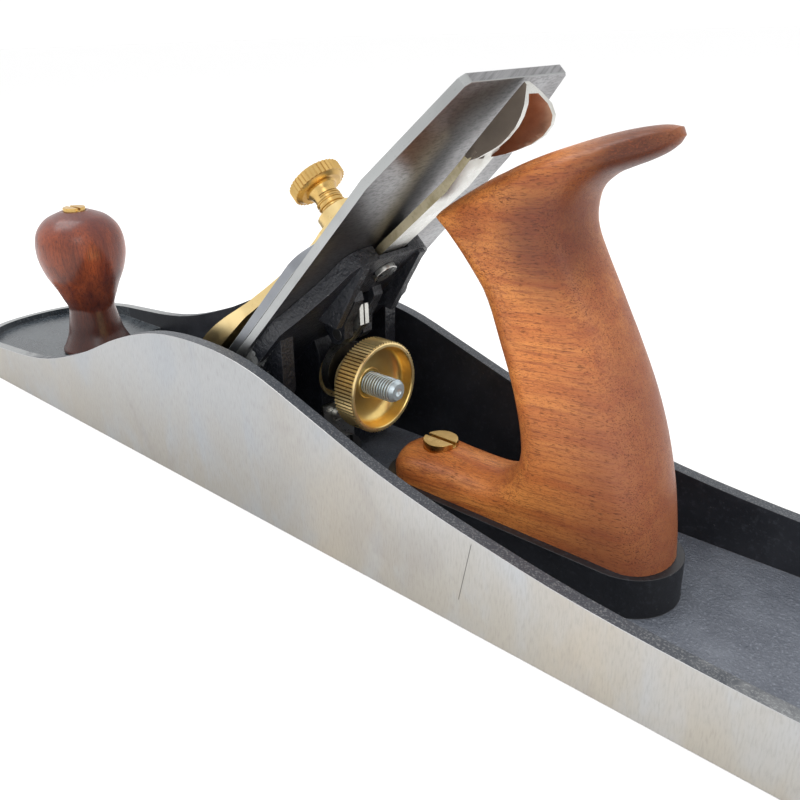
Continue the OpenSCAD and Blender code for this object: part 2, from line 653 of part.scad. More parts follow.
// Wings of the tab as seen from the side
module wing_side() {
    polygon(concat([for (p = tab_stations)
        [tab_foot_a + p[0] * tab_l, tab_base_h(p[0]) - p[1] * tab_depth]],
        [[tab_tip_a, tab_base_h(1)], [tab_foot_a, tab_base_h(0) + 0.6]]));
}
module across_bed(w = 80) {
    rotate([90, 0, 0]) linear_extrude(w, center = true) children();
}
module lateral_lever() {
    color([0.74, 0.73, 0.70]) on_bed() difference() {
        union() {
            intersection() {
                across_bed() bar_side();
                translate([0, 0, -20]) linear_extrude(40) bar_plan();
            }
            intersection() {
                across_bed() web_side();
                translate([0, 0, -20]) linear_extrude(40) union() {
                    tab_plan(0);
                    translate([tab_foot_a - 12, -lateral_w / 2]) square([12 + over, lateral_w]);
                }
            }
            intersection() {
                across_bed() wing_side();
                translate([0, 0, -20]) linear_extrude(40) difference() {
                    tab_plan(0);
                    tab_plan(tab_wall_t);
                }
            }
        }
        translate([lateral_pivot_a, 0, -10]) cylinder(d = 5 + 2 * fit, h = 20);
        translate([roller_a, 0, -10]) cylinder(d = 3 + 2 * fit, h = 20);
    }
}
module lateral_pivot() {
    color([0.62, 0.62, 0.60]) on_bed() translate([lateral_pivot_a, 0, 0]) {
        translate([0, 0, -bed_plate_t - over]) cylinder(d = 5, h = bed_plate_t + over - 0.4);
        translate([0, 0, -bed_plate_t - 1.6]) cylinder(d = 8, h = 1.6);
    }
}
module lateral_roller() {
    color([0.62, 0.62, 0.60]) on_bed() translate([roller_a, 0, 0]) {
        translate([0, 0, bar_h]) cylinder(d = roller_d, h = iron_t - bar_h - 0.4);
        translate([0, 0, bar_h - lateral_t + 0.2]) cylinder(d = 3, h = lateral_t);
    }
}

// Iron and cap iron with the screw that joins them
module iron_plan() {
    top = iron_top_a;
    clip = 1.2;
    half = [[iron_tip_a - over, iron_w / 2], [top - iron_taper_l, iron_w / 2],
        [top - clip, iron_top_w / 2 + 0.4], [top, iron_top_w / 2 - clip]];
    polygon(concat(half, mirror_y(half)));
}
module iron() {
    key_d = 17;
    color([0.60, 0.61, 0.62]) on_bed() difference() {
        intersection() {
            rotate([90, 0, 0]) linear_extrude(iron_w + 2 * over, center = true)
                polygon([[iron_tip_a, iron_t], [iron_tip_a + iron_t / tan(grind_angle), 0],
                    [iron_top_a, 0], [iron_top_a, iron_t]]);
            translate([0, 0, -over]) linear_extrude(iron_t + 2 * over) iron_plan();
        }
        translate([0, 0, -over]) linear_extrude(iron_t + 2 * over) {
            slot_2d(lever_screw_a - 6, roller_a + 4, iron_slot_w);
            translate([lever_screw_a - 6, 0]) circle(d = key_d);
        }
    }
}
module cap_iron_side() {
    top = iron_t + cap_iron_t;
    tip = iron_tip_a + 1.7;
    outer = smooth([[tip, iron_t + 0.15], [tip + 3.2, iron_t + curl_h * 0.52],
        [tip + 9, iron_t + curl_h * 0.9], [tip + 16, cap_iron_front_h],
        [tip + 24, iron_t + curl_h * 0.84], [tip + 33, iron_t + curl_h * 0.54],
        [tip + 43, top]]);
    inner = smooth([[tip + 43, iron_t], [tip + 33, iron_t + curl_h * 0.2],
        [tip + 24, iron_t + curl_h * 0.47], [tip + 16, cap_iron_front_h - cap_iron_t],
        [tip + 9.6, iron_t + curl_h * 0.54], [tip + 4.6, iron_t + curl_h * 0.24],
        [tip + 1.2, iron_t]]);
    polygon(concat(outer, [[cap_iron_end_a, top], [cap_iron_end_a, iron_t]], inner));
}
module cap_iron_plan() {
    r = cap_iron_corner_r;
    translate([-20, -iron_w / 2]) square([cap_iron_end_a - r + 20, iron_w]);
    translate([-20, -iron_w / 2 + r]) square([cap_iron_end_a + 20, iron_w - 2 * r]);
    for (y = [-1, 1]) translate([cap_iron_end_a - r, y * (iron_w / 2 - r)]) circle(r = r);
}
module cap_iron() {
    slot_half = 3.6;
    color([0.52, 0.53, 0.55]) on_bed() difference() {
        intersection() {
            rotate([90, 0, 0]) linear_extrude(iron_w + 2 * over, center = true)
                cap_iron_side();
            linear_extrude(30) cap_iron_plan();
        }
        linear_extrude(30) slot_2d(lever_screw_a - 5, lever_screw_a + 5, 10);
        translate([finger_a - slot_half, -yoke_t - 0.6, 0])
            cube([2 * slot_half, 2 * yoke_t + 1.2, 30]);
        translate([cap_screw_a, 0, 0]) cylinder(d = 8 + 2 * fit, h = 30);
    }
}
module cap_iron_screw() {
    head_t = 3.2;
    color([0.70, 0.60, 0.36]) on_bed() translate([cap_screw_a, 0, 0]) difference() {
        union() {
            translate([0, 0, -head_t]) cylinder(d = cap_screw_head_d, h = head_t);
            translate([0, 0, -over]) cylinder(d = 8, h = iron_t + cap_iron_t + over - 0.3);
        }
        translate([-cap_screw_head_d, -0.8, -head_t - over])
            cube([2 * cap_screw_head_d, 1.6, 1 + over]);
    }
}

// Lever cap, the screw it hangs on and the thumbscrew that tightens it
under_h = iron_t + cap_iron_t + 1.6;
cap_toe_a = 14.5;
function lever_cap_top() = smooth([[cap_toe_a, 13], [cap_toe_a + 3, 15.2], [26, 16.8],
    [40, 17.3], [54, 16.8], [66, 15.8], [76, 13.9], [85, 11.7], [92, 10.9], [99, 10.8],
    [106, 11.4], [113, 12.4], [120, 13.2], [thumb_a + lever_cap_end_r, 13.6]]);
module lever_cap_side() {
    polygon(concat(lever_cap_top(), [[thumb_a + lever_cap_end_r, under_h],
        [97, under_h], [60, cap_iron_front_h - 1.6], [cap_toe_a + 8, cap_iron_front_h + 0.1],
        [cap_toe_a, cap_iron_front_h + 0.1]]));
}
module lever_cap_plan() {
    w = lever_cap_w / 2;
    half = smooth([[cap_toe_a, w], [76, w], [88, w - 1.8], [97, w - 6], [106, w - 11.6],
        [112, lever_cap_end_r + 0.9], [thumb_a + 2, lever_cap_end_r]]);
    polygon(concat(half, mirror_y(half)));
    translate([thumb_a, 0]) circle(r = lever_cap_end_r);
}
module lever_cap() {
    boss_top = 19.4;
    recess_h = 13;
    color([0.84, 0.68, 0.38]) on_bed() difference() {
        union() {
            intersection() {
                rotate([90, 0, 0]) linear_extrude(80, center = true) lever_cap_side();
                linear_extrude(30) lever_cap_plan();
            }
            translate([thumb_a, 0, under_h])
                cylinder(r = screw_boss_r, h = boss_top - under_h);
            translate([thumb_a, 0, 12]) cylinder(r1 = screw_boss_r + 2.6, r2 = screw_boss_r,
                h = 4);
        }
        translate([thumb_a, 0, 0]) cylinder(d = thumb_stem_d + 2 * fit, h = 40);
        // Keyhole for the lever cap screw, with a recess under its head
        linear_extrude(40) {
            slot_2d(lever_screw_a - 10, lever_screw_a, lever_screw_d + 0.8);
            translate([lever_screw_a - 11, 0]) circle(d = 15);
        }
        translate([0, 0, recess_h]) linear_extrude(10)
            slot_2d(lever_screw_a - 10, lever_screw_a, 16);
    }
}
module lever_cap_screw() {
    head_h = 3.6;
    seat = 13.05;
    shank = 11;
    color([0.66, 0.64, 0.60]) on_bed() translate([lever_screw_a, 0, 0]) difference() {
        union() {
            translate([0, 0, -shank]) cylinder(d = lever_screw_d, h = seat + shank + over);
            translate([0, 0, seat]) cylinder(d = 13, h = head_h);
        }
        translate([-0.7, -20, seat + head_h - 1.6]) cube([1.4, 40, 3]);
    }
}
module thumbscrew() {
    low = iron_t + cap_iron_t + 0.15;
    head_low = 28;
    r = thumb_head_d / 2;
    s = thumb_stem_d / 2;
    color([0.84, 0.68, 0.36]) on_bed() translate([thumb_a, 0, 0])
        rotate_extrude() polygon([[0, low], [s - 1, low], [s, low + 1],
            [s, head_low], [r - 2, head_low], [r, head_low + 1.4],
            [r, head_low + thumb_head_h - 1.1], [r - 1.2, head_low + thumb_head_h],
            [0, head_low + thumb_head_h]]);
}

// Knob, its rod and its nut
knob_top_z = toe_pad_h + knob_h;
function knob_profile() = let (b = knob_d / 2, n = knob_neck_d / 2, f = knob_foot_d / 2,
    h = knob_h, z = toe_pad_h)
    concat([[rod_d / 2 + 0.5, z], [f - 0.6, z], [f, z + 0.7]],
        smooth([[f - 0.2, z + 1.6], [f - 1.9, z + 0.07 * h], [f - 3.6, z + 0.13 * h],
            [n + 1.1, z + 0.2 * h], [n, z + 0.29 * h], [n, z + 0.335 * h],
            [n + 1.4, z + 0.39 * h], [b - 5.4, z + 0.47 * h], [b - 2.3, z + 0.57 * h],
            [b - 0.5, z + 0.665 * h], [b, z + 0.74 * h], [b - 0.5, z + 0.82 * h],
            [b - 2.3, z + 0.89 * h], [b - 6.4, z + 0.955 * h],
            [nut_d / 2 + 1.4, z + h - 0.1]]),
        [[nut_d / 2 + 0.1, z + h], [nut_d / 2 + 0.1, z + h - 4.5],
        [rod_d / 2 + 0.5, z + h - 4.5]]);
module knob() {
    color([0.36, 0.14, 0.09]) translate([knob_x, 0, 0])
        rotate_extrude() polygon(knob_profile());
}
module knob_rod() {
    color([0.60, 0.60, 0.58]) translate([knob_x, 0, 3])
        cylinder(d = rod_d, h = knob_top_z - 3 - 1);
}
module round_nut(l) {
    difference() {
        cylinder(d = nut_d, h = l);
        translate([0, 0, -over]) cylinder(d = rod_d + 2 * fit, h = l - 2 + over);
        translate([-nut_d, -0.6, l - 1.3]) cube([2 * nut_d, 1.2, 3]);
    }
}
module knob_nut() {
    color([0.80, 0.64, 0.34]) translate([knob_x, 0, knob_top_z - 4.45]) round_nut(6);
}

// Handle: an outline swept across its thickness with rounded edges
tote_screw_d = 5;
tote_screw_x = tote_x + 15.2;
tote_rod_foot_x = tote_x + 75;
rod_in_boss = 10;
tote_rod_l = 0.912 * tote_h;
module tote_rod_line() {
    translate([tote_rod_foot_x, 0, boss_h]) rotate([0, -tote_rod_lean, 0]) children();
}
// Two rails run from the foot to the horn's tip: X from the foot's front, Z above the boss.
// Both start below the boss, so that the foot is full width where it is cut flat.
rail_steps = 3;
rear_rail = smooth([[8, -16], [12, -16], [16, -16], [21, -16], [28, -16], [37, -16],
    [50, -16], [74, -16], [92.2, -14], [92.2, 0], [91.2, 10.5], [89.4, 21.5], [86.2, 34],
    [82, 45.4], [76.4, 57], [71, 68], [66.8, 76.8], [64.3, 83], [63.7, 88], [64.6, 92.2],
    [68.4, 96], [73.4, 98.6], [77.4, 100.8], [80.6, 103.2], [83, 105.4]], rail_steps);
front_rail = smooth([[0, -16], [0, 0], [1.6, 5.8], [8, 9.5], [18, 10.6], [28, 10.5],
    [38, 10.9], [44.6, 14], [47, 19.6], [46.4, 27.4], [43.3, 39.1], [39.1, 50.5],
    [33.4, 61.4], [26.8, 70.2], [20.6, 77.2], [16.4, 81.4], [18.4, 84.4], [28.9, 90.2],
    [39.1, 95.6], [48.7, 99.8], [57.6, 103], [66, 105.6], [73.4, 107.4], [79, 108.1],
    [82.6, 108]], rail_steps);
horn_tip = [83.9, 106.8];
nose = [16.4, 82];
foot_nose = [2.5, 4.5];
rail_n = len(rear_rail);
tote_kx = tote_foot_l / 92.2;
tote_kz = tote_h / 107.6;
// How far the edge is rounded over: less near the tip, the nose and the foot's front
function edge_round(p) = min(tote_round_r, 0.8 + 0.2 * norm(p - horn_tip),
    0.8 + 0.26 * norm(p - nose), 3.5 + 0.3 * norm(p - foot_nose), 0.5 + 0.6 * (p[1] + 16));
function unit(v) = v / norm(v);
tote_edge = concat(rear_rail, [horn_tip], [for (i = [rail_n - 1 : -1 : 0]) front_rail[i]]);
tote_n = len(tote_edge);
tote_inward = [for (i = [0 : tote_n - 1])
    let (d = unit(tote_edge[(i + 1) % tote_n] - tote_edge[(i + tote_n - 1) % tote_n]))
    [-d[1], d[0]] * edge_round(tote_edge[i])];
tote_layers = 6;
function tote_ring(k) = let (angle = 90 * k / tote_layers)
    [for (i = [0 : tote_n - 1]) let (q = tote_edge[i] + tote_inward[i] * (1 - cos(angle)))
        [q[0] * tote_kx, tote_w / 2 * sin(angle), q[1] * tote_kz]];
// The flat sides: strips between the rails, each cut along its better diagonal
function turn(p, i, j, k) = cross(p[j] - p[i], p[k] - p[i]);
function tote_side() = let (p = [for (q = tote_ring(tote_layers)) [q[0], q[2]]], n = tote_n)
    concat([for (i = [0 : rail_n - 2]) let (a = i, b = i + 1, c = n - 2 - i, d = n - 1 - i,
            first = min(turn(p, a, b, d), turn(p, b, c, d)),
            second = min(turn(p, a, b, c), turn(p, a, c, d)))
        each first > second ? [[a, b, d], [b, c, d]] : [[a, b, c], [a, c, d]]],
        [[rail_n - 1, rail_n, rail_n + 1]]);
module tote_solid() {
    n = tote_n;
    rings = 2 * tote_layers + 1;
    last = (rings - 1) * n;
    points = [for (k = [-tote_layers : tote_layers]) each tote_ring(k)];
    edge = [for (k = [0 : rings - 2]) for (i = [0 : n - 1]) let (j = (i + 1) % n)
        each [[k * n + i, k * n + j, (k + 1) * n + j],
            [k * n + i, (k + 1) * n + j, (k + 1) * n + i]]];
    side = tote_side();
    polyhedron(points, concat(edge, [for (f = side) [f[2], f[1], f[0]]],
        [for (f = side) [last + f[0], last + f[1], last + f[2]]]));
}
module tote_plan() {
    r = tote_w / 2;
    neck_z = 58 * tote_kz;
    half = smooth([[15.9, 0], [16.4, 2.2], [17.6, 4], [20.2, 6.2], [24.2, 8.6],
        [29.4, 10.6], [35.4, r - 0.2], [42, r + 0.2], [54, r], [62, r - 1.2], [69, r - 3],
        [75, r - 5.4], [79.4, r - 7.8], [82.4, r - 9.8], [84, r - 11.4], [84.4, 0]], 3);
    horn = [for (p = half) [p[0] * tote_kx, p[1]]];
    linear_extrude(neck_z + over) union() {
        translate([r, 0]) circle(r = r);
        translate([r, -r - over]) square([tote_foot_l, 2 * (r + over)]);
    }
    translate([0, 0, neck_z]) linear_extrude(tote_h)
        polygon(concat(horn, mirror_y(horn)));
}
module tote() {
    color([0.62, 0.33, 0.16]) difference() {
        translate([tote_x, 0, boss_h]) intersection() {
            tote_solid();
            tote_plan();
        }
        tote_rod_line() {
            translate([0, 0, -over]) cylinder(d = rod_d + 1, h = 120);
            translate([0, 0, tote_rod_l - 4]) cylinder(d = nut_d + 0.2, h = 40);
        }
        translate([tote_screw_x, 0, 0]) {
            cylinder(d = tote_screw_d + 0.6, h = 60);
            translate([0, 0, boss_h + tote_screw_seat])
                cylinder(d = tote_screw_head_d + 0.2, h = 20);
        }
    }
}
module tote_rod() {
    color([0.60, 0.60, 0.58]) tote_rod_line() translate([0, 0, -rod_in_boss + over])
        cylinder(d = rod_d, h = tote_rod_l + rod_in_boss - over);
}
module tote_nut() {
    color([0.80, 0.64, 0.34]) tote_rod_line() translate([0, 0, tote_rod_l - 3.95])
        round_nut(6);
}
tote_screw_seat = 9.3;
module tote_screw() {
    head_h = 2.9;
    color([0.80, 0.64, 0.34]) translate([tote_screw_x, 0, 0]) difference() {
        union() {
            translate([0, 0, 3]) cylinder(d = tote_screw_d, h = boss_h + tote_screw_seat - 2);
            translate([0, 0, boss_h + tote_screw_seat + seat_gap])
                cylinder(d = tote_screw_head_d, h = head_h);
        }
        translate([-20, -0.7, boss_h + tote_screw_seat + head_h - 1.3]) cube([40, 1.4, 4]);
    }
}

body();
frog();
frog_screws();
frog_washers();
frog_adjusting_screw();
frog_clip();
frog_clip_screw();
adjuster_stud();
adjuster_wheel();
yoke_left();
yoke_right();
yoke_pin();
lateral_lever();
lateral_pivot();
lateral_roller();
iron();
cap_iron();
cap_iron_screw();
lever_cap();
lever_cap_screw();
thumbscrew();
knob();
knob_rod();
knob_nut();
tote();
tote_rod();
tote_nut();
tote_screw();
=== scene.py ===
"""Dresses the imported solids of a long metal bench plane, then lights and frames them.

Lengths are metres in the solids' own frame: X from the toe to the heel, Z up from the sole,
with the origin under the middle of the sole. A class whose sizes are millimetres says so. The
camera looks from the heel end of the side that faces -Y.
"""

import json
import logging
import math
from dataclasses import dataclass, field
from enum import Enum
from functools import cache
from typing import Any, Mapping, Sequence

import bmesh
import bpy
from mathutils import Matrix, Vector

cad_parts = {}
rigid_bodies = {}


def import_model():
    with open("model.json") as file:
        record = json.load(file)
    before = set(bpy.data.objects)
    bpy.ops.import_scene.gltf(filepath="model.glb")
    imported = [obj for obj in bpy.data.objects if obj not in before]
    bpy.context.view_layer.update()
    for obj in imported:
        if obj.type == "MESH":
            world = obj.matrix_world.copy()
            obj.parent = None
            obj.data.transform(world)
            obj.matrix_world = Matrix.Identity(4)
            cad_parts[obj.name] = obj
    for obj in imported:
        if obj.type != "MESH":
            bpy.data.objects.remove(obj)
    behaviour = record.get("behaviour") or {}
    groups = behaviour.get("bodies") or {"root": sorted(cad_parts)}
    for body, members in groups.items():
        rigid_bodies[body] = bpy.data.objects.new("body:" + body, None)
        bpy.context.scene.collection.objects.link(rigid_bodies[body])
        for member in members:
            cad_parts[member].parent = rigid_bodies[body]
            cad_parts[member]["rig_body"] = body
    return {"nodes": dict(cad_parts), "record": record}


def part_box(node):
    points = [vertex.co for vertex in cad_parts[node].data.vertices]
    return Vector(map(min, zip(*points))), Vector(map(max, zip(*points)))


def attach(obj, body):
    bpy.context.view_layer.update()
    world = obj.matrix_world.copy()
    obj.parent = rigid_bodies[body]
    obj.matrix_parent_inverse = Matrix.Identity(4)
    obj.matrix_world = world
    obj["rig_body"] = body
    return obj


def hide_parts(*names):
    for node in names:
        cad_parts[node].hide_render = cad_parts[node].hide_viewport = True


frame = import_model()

LOG = logging.getLogger("bench_plane")
MM = 0.001
MERGE_DISTANCE = 0.002 * MM
FLAT_ANGLE = math.radians(0.6)
TURNED_SMOOTH_BELOW = math.radians(32)
# A face looks along an axis when this much of its normal points that way
SQUARELY = 0.7
MOSTLY = 0.5
PARTLY = 0.3

Colour = tuple[float, float, float]
Point = tuple[float, float, float]
Rows = tuple[tuple[float, float], ...]


def srgb(red: int, green: int, blue: int) -> Colour:
    """Turns a colour as seen on a screen, 0 to 255 a channel, into a linear one, 0 to 1."""
    return tuple((v / 255 / 12.92) if v < 11 else ((v / 255 + 0.055) / 1.055) ** 2.4
                 for v in (red, green, blue))


class Socket:
    """A node's value that works in Python expressions."""

    def __init__(self, graph: "Graph", socket: bpy.types.NodeSocket) -> None:
        """Keeps the graph and the node socket that the value comes from."""
        self.graph = graph
        self.socket = socket

    def _math(self, operation: str, *values: Any) -> "Socket":
        """Returns the result of a Math node whose inputs are sockets or numbers."""
        return self.graph.node("ShaderNodeMath", {"operation": operation}, dict(enumerate(values)))

    def __add__(self, other: Any) -> "Socket":
        """Returns self + other."""
        return self._math("ADD", self, other)

    def __radd__(self, other: Any) -> "Socket":
        """Returns other + self."""
        return self._math("ADD", other, self)

    def __sub__(self, other: Any) -> "Socket":
        """Returns self - other."""
        return self._math("SUBTRACT", self, other)

    def __rsub__(self, other: Any) -> "Socket":
        """Returns other - self."""
        return self._math("SUBTRACT", other, self)

    def __mul__(self, other: Any) -> "Socket":
        """Returns self * other."""
        return self._math("MULTIPLY", self, other)

    def __rmul__(self, other: Any) -> "Socket":
        """Returns other * self."""
        return self._math("MULTIPLY", other, self)

    def __truediv__(self, other: Any) -> "Socket":
        """Returns self / other."""
        return self._math("DIVIDE", self, other)

    def __rtruediv__(self, other: Any) -> "Socket":
        """Returns other / self."""
        return self._math("DIVIDE", other, self)

    def __abs__(self) -> "Socket":
        """Returns the value without its sign."""
        return self._math("ABSOLUTE", self)

    def lowest(self, other: Any) -> "Socket":
        """Returns the smaller of self and other."""
        return self._math("MINIMUM", self, other)

    def highest(self, other: Any) -> "Socket":
        """Returns the larger of self and other."""
        return self._math("MAXIMUM", self, other)

    def step(self, low: float, high: float) -> "Socket":
        """Returns a smooth ramp, 0 up to low and 1 from high on."""
        return self.graph.node("ShaderNodeMapRange", {"interpolation_type": "SMOOTHSTEP"},
                               {0: self, 1: low, 2: high, 3: 0.0, 4: 1.0})


class Graph:
    """A node tree that is built in the script."""

    def __init__(self, tree: bpy.types.NodeTree) -> None:
        """Keeps the tree."""
        self.tree = tree

    def feed(self, socket: bpy.types.NodeSocket, value: Any) -> None:
        """Links a value to an input socket, or sets it there.

        Args:
            socket: The input socket.
            value: A Socket to link, or anything else to set.
        """
        if isinstance(value, Socket):
            self.tree.links.new(value.socket, socket)
        else:
            socket.default_value = value

    def node(self, kind: str, settings: Mapping[str, Any] | None = None,
             inputs: Mapping[Any, Any] | None = None, output: Any = 0) -> Socket:
        """Adds a node: its settings first, then its sockets.

        Args:
            kind: The node's type.
            settings: Attributes of the node.
            inputs: Values or sockets by input name or number.
            output: Name or number of the output that is wanted.

        Returns:
            That output.
        """
        made = self.tree.nodes.new(kind)
        for key, value in (settings or {}).items():
            setattr(made, key, value)
        for key, value in (inputs or {}).items():
            self.feed(made.inputs[key], value)
        return Socket(self, made.outputs[output])


class Shader(Graph):
    """A material with one Principled surface, and short ways to feed it."""

    def __init__(self, name: str, **constants: float) -> None:
        """Makes the material.

        Args:
            name: The material's name.
            constants: Values of the surface's own sockets, with _ for a space.
        """
        self.material = bpy.data.materials.new(name)
        self.material.use_nodes = True
        super().__init__(self.material.node_tree)
        self.tree.nodes.clear()
        out = self.tree.nodes.new("ShaderNodeOutputMaterial")
        self.surface = self.tree.nodes.new("ShaderNodeBsdfPrincipled")
        self.tree.links.new(self.surface.outputs[0], out.inputs[0])
        self.set(**constants)
        self.place = self.node("ShaderNodeTexCoord", output="Object")

    def set(self, **values: Any) -> None:
        """Links or sets sockets of the surface.

        Args:
            values: Values or sockets by input name, with _ for a space.
        """
        for key, value in values.items():
            self.feed(self.surface.inputs[key.replace("_", " ")],
                      (*value, 1.0) if isinstance(value, tuple) else value)

    def axes(self) -> list[Socket]:
        """Returns the X, Y and Z of the point that is shaded."""
        split = self.node("ShaderNodeSeparateXYZ", inputs={0: self.place}).socket.node
        return [Socket(self, output) for output in split.outputs]

    def distance(self, point: Point) -> Socket:
        """Returns how far the point that is shaded lies from another."""
        return self.node("ShaderNodeVectorMath", {"operation": "DISTANCE"},
                         {0: self.place, 1: point}, output="Value")

    def noise(self, size: float, detail: float = 3.0, rough: float = 0.5,
              stretch: Point = (1, 1, 1), turn: Point = (0, 0, 0), shift: Point = (0, 0, 0),
              warp: float = 0.0) -> Socket:
        """Adds a noise pattern in the object's own coordinates.

        Args:
            size: Rough size of a patch in metres.
            detail: Number of finer layers.
            rough: Strength of the finer layers.
            stretch: How many times finer the pattern is along each axis.
            turn: Turn of the pattern in degrees about each axis.
            shift: Shift of the pattern in metres.
            warp: How much the pattern is distorted.

        Returns:
            The pattern, about 0 to 1.
        """
        turned = self.node("ShaderNodeMapping", {"vector_type": "TEXTURE"},
                           {0: self.place, 1: shift, 2: [math.radians(a) for a in turn]})
        spread = self.node("ShaderNodeMapping", {"vector_type": "POINT"}, {0: turned, 3: stretch})
        return self.node("ShaderNodeTexNoise", {"noise_dimensions": "3D"},
                         {"Vector": spread, "Scale": 1 / size, "Detail": detail,
                          "Roughness": rough, "Distortion": warp})

    def mix(self, share: Any, first: Any, second: Any) -> Socket:
        """Mixes two colours.

        Args:
            share: Share of the second colour.
            first: A colour or socket.
            second: A colour or socket.

        Returns:
            The mixed colour.
        """
        full = [(*c, 1.0) if isinstance(c, tuple) else c for c in (first, second)]
        return self.node("ShaderNodeMix", {"data_type": "RGBA", "clamp_factor": True},
                         {0: share, 6: full[0], 7: full[1]}, output=2)

    def bump(self, *layers: tuple[Socket, float]) -> None:
        """Presses patterns into the surface.

        Args:
            layers: Pairs of a height pattern and its depth in metres.
        """
        below: dict[str, Socket] = {}
        for height, depth in layers:
            below = {"Normal": self.node("ShaderNodeBump", inputs={
                "Height": height, "Distance": depth, "Strength": 1.0, **below})}
        self.set(**below)


@dataclass(frozen=True)
class GroundMetal:
    """Bare metal with grinding lines, faint clouds and small dark specks."""

    name: str
    base: Colour
    cloud: Colour
    rough: float = 0.34
    lines: Point = (1, 1, 1)
    turn: Point = (0, 0, 0)
    line_size: float = 3 * MM
    line_depth: float = 0.004 * MM
    line_share: float = 0.0
    cloud_size: float = 30 * MM
    cloud_share: float = 0.7
    metallic: float = 1.0
    speck: float = 0.25
    darkening: float = 0.45

    def build(self) -> bpy.types.Material:
        """Builds the finish.

        Returns:
            Its material.
        """
        sh = Shader(self.name, Metallic=self.metallic)
        lines = sh.noise(self.line_size, 4, 0.6, self.lines, self.turn)
        clouds = sh.noise(self.cloud_size, 4, 0.55, shift=(0.02, 0.01, 0.03))
        fine = sh.noise(0.5 * MM, 2, 0.5)
        dark = tuple(v * self.darkening for v in self.base)
        tone = sh.mix(clouds.step(0.35, 0.68) * self.cloud_share, self.base, self.cloud)
        tone = sh.mix(lines.step(0.4, 0.7) * self.line_share, tone, dark)
        sh.set(Base_Color=sh.mix(fine.step(0.63, 0.72) * self.speck, tone, dark),
               Roughness=self.rough + (lines - 0.5) * 0.22 + (clouds - 0.5) * 0.12)
        sh.bump((lines, self.line_depth), (fine, 0.002 * MM))
        return sh.material


@dataclass(frozen=True)
class SideMetal:
    """Ground casting: upright clouds, painted light, paler and colder towards the rim, and one old
    scratch.
    """

    name: str
    # low and high are painted light: the side's tone near the sole and near the rim
    low: Colour = srgb(172, 167, 158)
    high: Colour = srgb(190, 191, 192)
    warm: Colour = srgb(186, 176, 160)
    cold: Colour = srgb(176, 182, 190)
    dull: Colour = srgb(150, 144, 140)
    grimy: Colour = srgb(120, 117, 112)
    toe_shade: Colour = srgb(62, 66, 72)
    scratched: Colour = srgb(70, 68, 66)
    rough: float = 0.4
    scratch_top: tuple[float, float] = (0.0394, 0.0282)
    scratch_foot: tuple[float, float] = (0.0352, 0.0082)
    scratch_width: tuple[float, float] = (0.06 * MM, 0.2 * MM)
    scratch_fade: float = 1 * MM
    near_y: float = -0.03
    bright_from: tuple[float, float] = (-0.05, 0.06)

    def scratch(self, x: Socket, y: Socket, z: Socket) -> Socket:
        """Marks a thin scratch on the near side.

        Args:
            x: Place along the sole.
            y: Place across it.
            z: Height.

        Returns:
            1 in the scratch and 0 elsewhere.
        """
        run = Vector(self.scratch_foot) - Vector(self.scratch_top)
        across = Vector((run.y, -run.x)).normalized()
        (top_x, top_z), foot_z, fade = self.scratch_top, self.scratch_foot[1], self.scratch_fade
        off = abs((x - top_x) * across.x + (z - top_z) * across.y)
        ends = z.step(foot_z, foot_z + fade) * (1 - z.step(top_z - fade, top_z))
        near = 1 - y.step(self.near_y, self.near_y + fade)
        return (1 - off.step(*self.scratch_width)) * ends * near

    def build(self) -> bpy.types.Material:
        """Builds the finish.

        Returns:
            Its material.
        """
        sh = Shader(self.name, Metallic=0.8)
        x, y, z = sh.axes()
        upright = sh.noise(13 * MM, 4, 0.6, (1, 1, 0.3), shift=(0.02, 0.01, 0.03), warp=0.3)
        broad = sh.noise(60 * MM, 3, 0.5, (1, 1, 0.7), shift=(0.3, 0, 0.1))
        drift = sh.noise(34 * MM, 3, 0.55, (1, 1, 0.8), shift=(0.1, 0, 0.2), warp=0.5)
        hairs = sh.noise(0.5 * MM, 3, 0.6, (1, 1, 0.16))
        fine = sh.noise(0.22 * MM, 2, 0.6)
        # Painted light: darker and warmer near the sole, paler and colder towards the rim
        height = (z + (upright - 0.5) * 0.02).step(0.002, 0.046)
        front = 1 - (x + (broad - 0.5) * 0.06).step(*self.bright_from)
        tone = sh.mix(height, self.low, self.high)
        for share, colour in ((upright.step(0.5, 0.72) * 0.5, self.cold),
                              (broad.step(0.45, 0.7) * 0.65, self.warm),
                              (drift.step(0.5, 0.75) * 0.5, self.cold),
                              ((1 - drift.step(0.28, 0.46)) * 0.35, self.dull),
                              (hairs.step(0.42, 0.75) * 0.22, self.grimy),
                              (front * 0.3, self.toe_shade),
                              (self.scratch(x, y, z) * 0.75, self.scratched)):
            tone = sh.mix(share, tone, colour)
        sh.set(Base_Color=tone,
               Roughness=self.rough + (hairs - 0.5) * 0.2 + (upright - 0.5) * 0.12)
        sh.bump((hairs, 0.006 * MM), (fine, 0.006 * MM))
        return sh.material


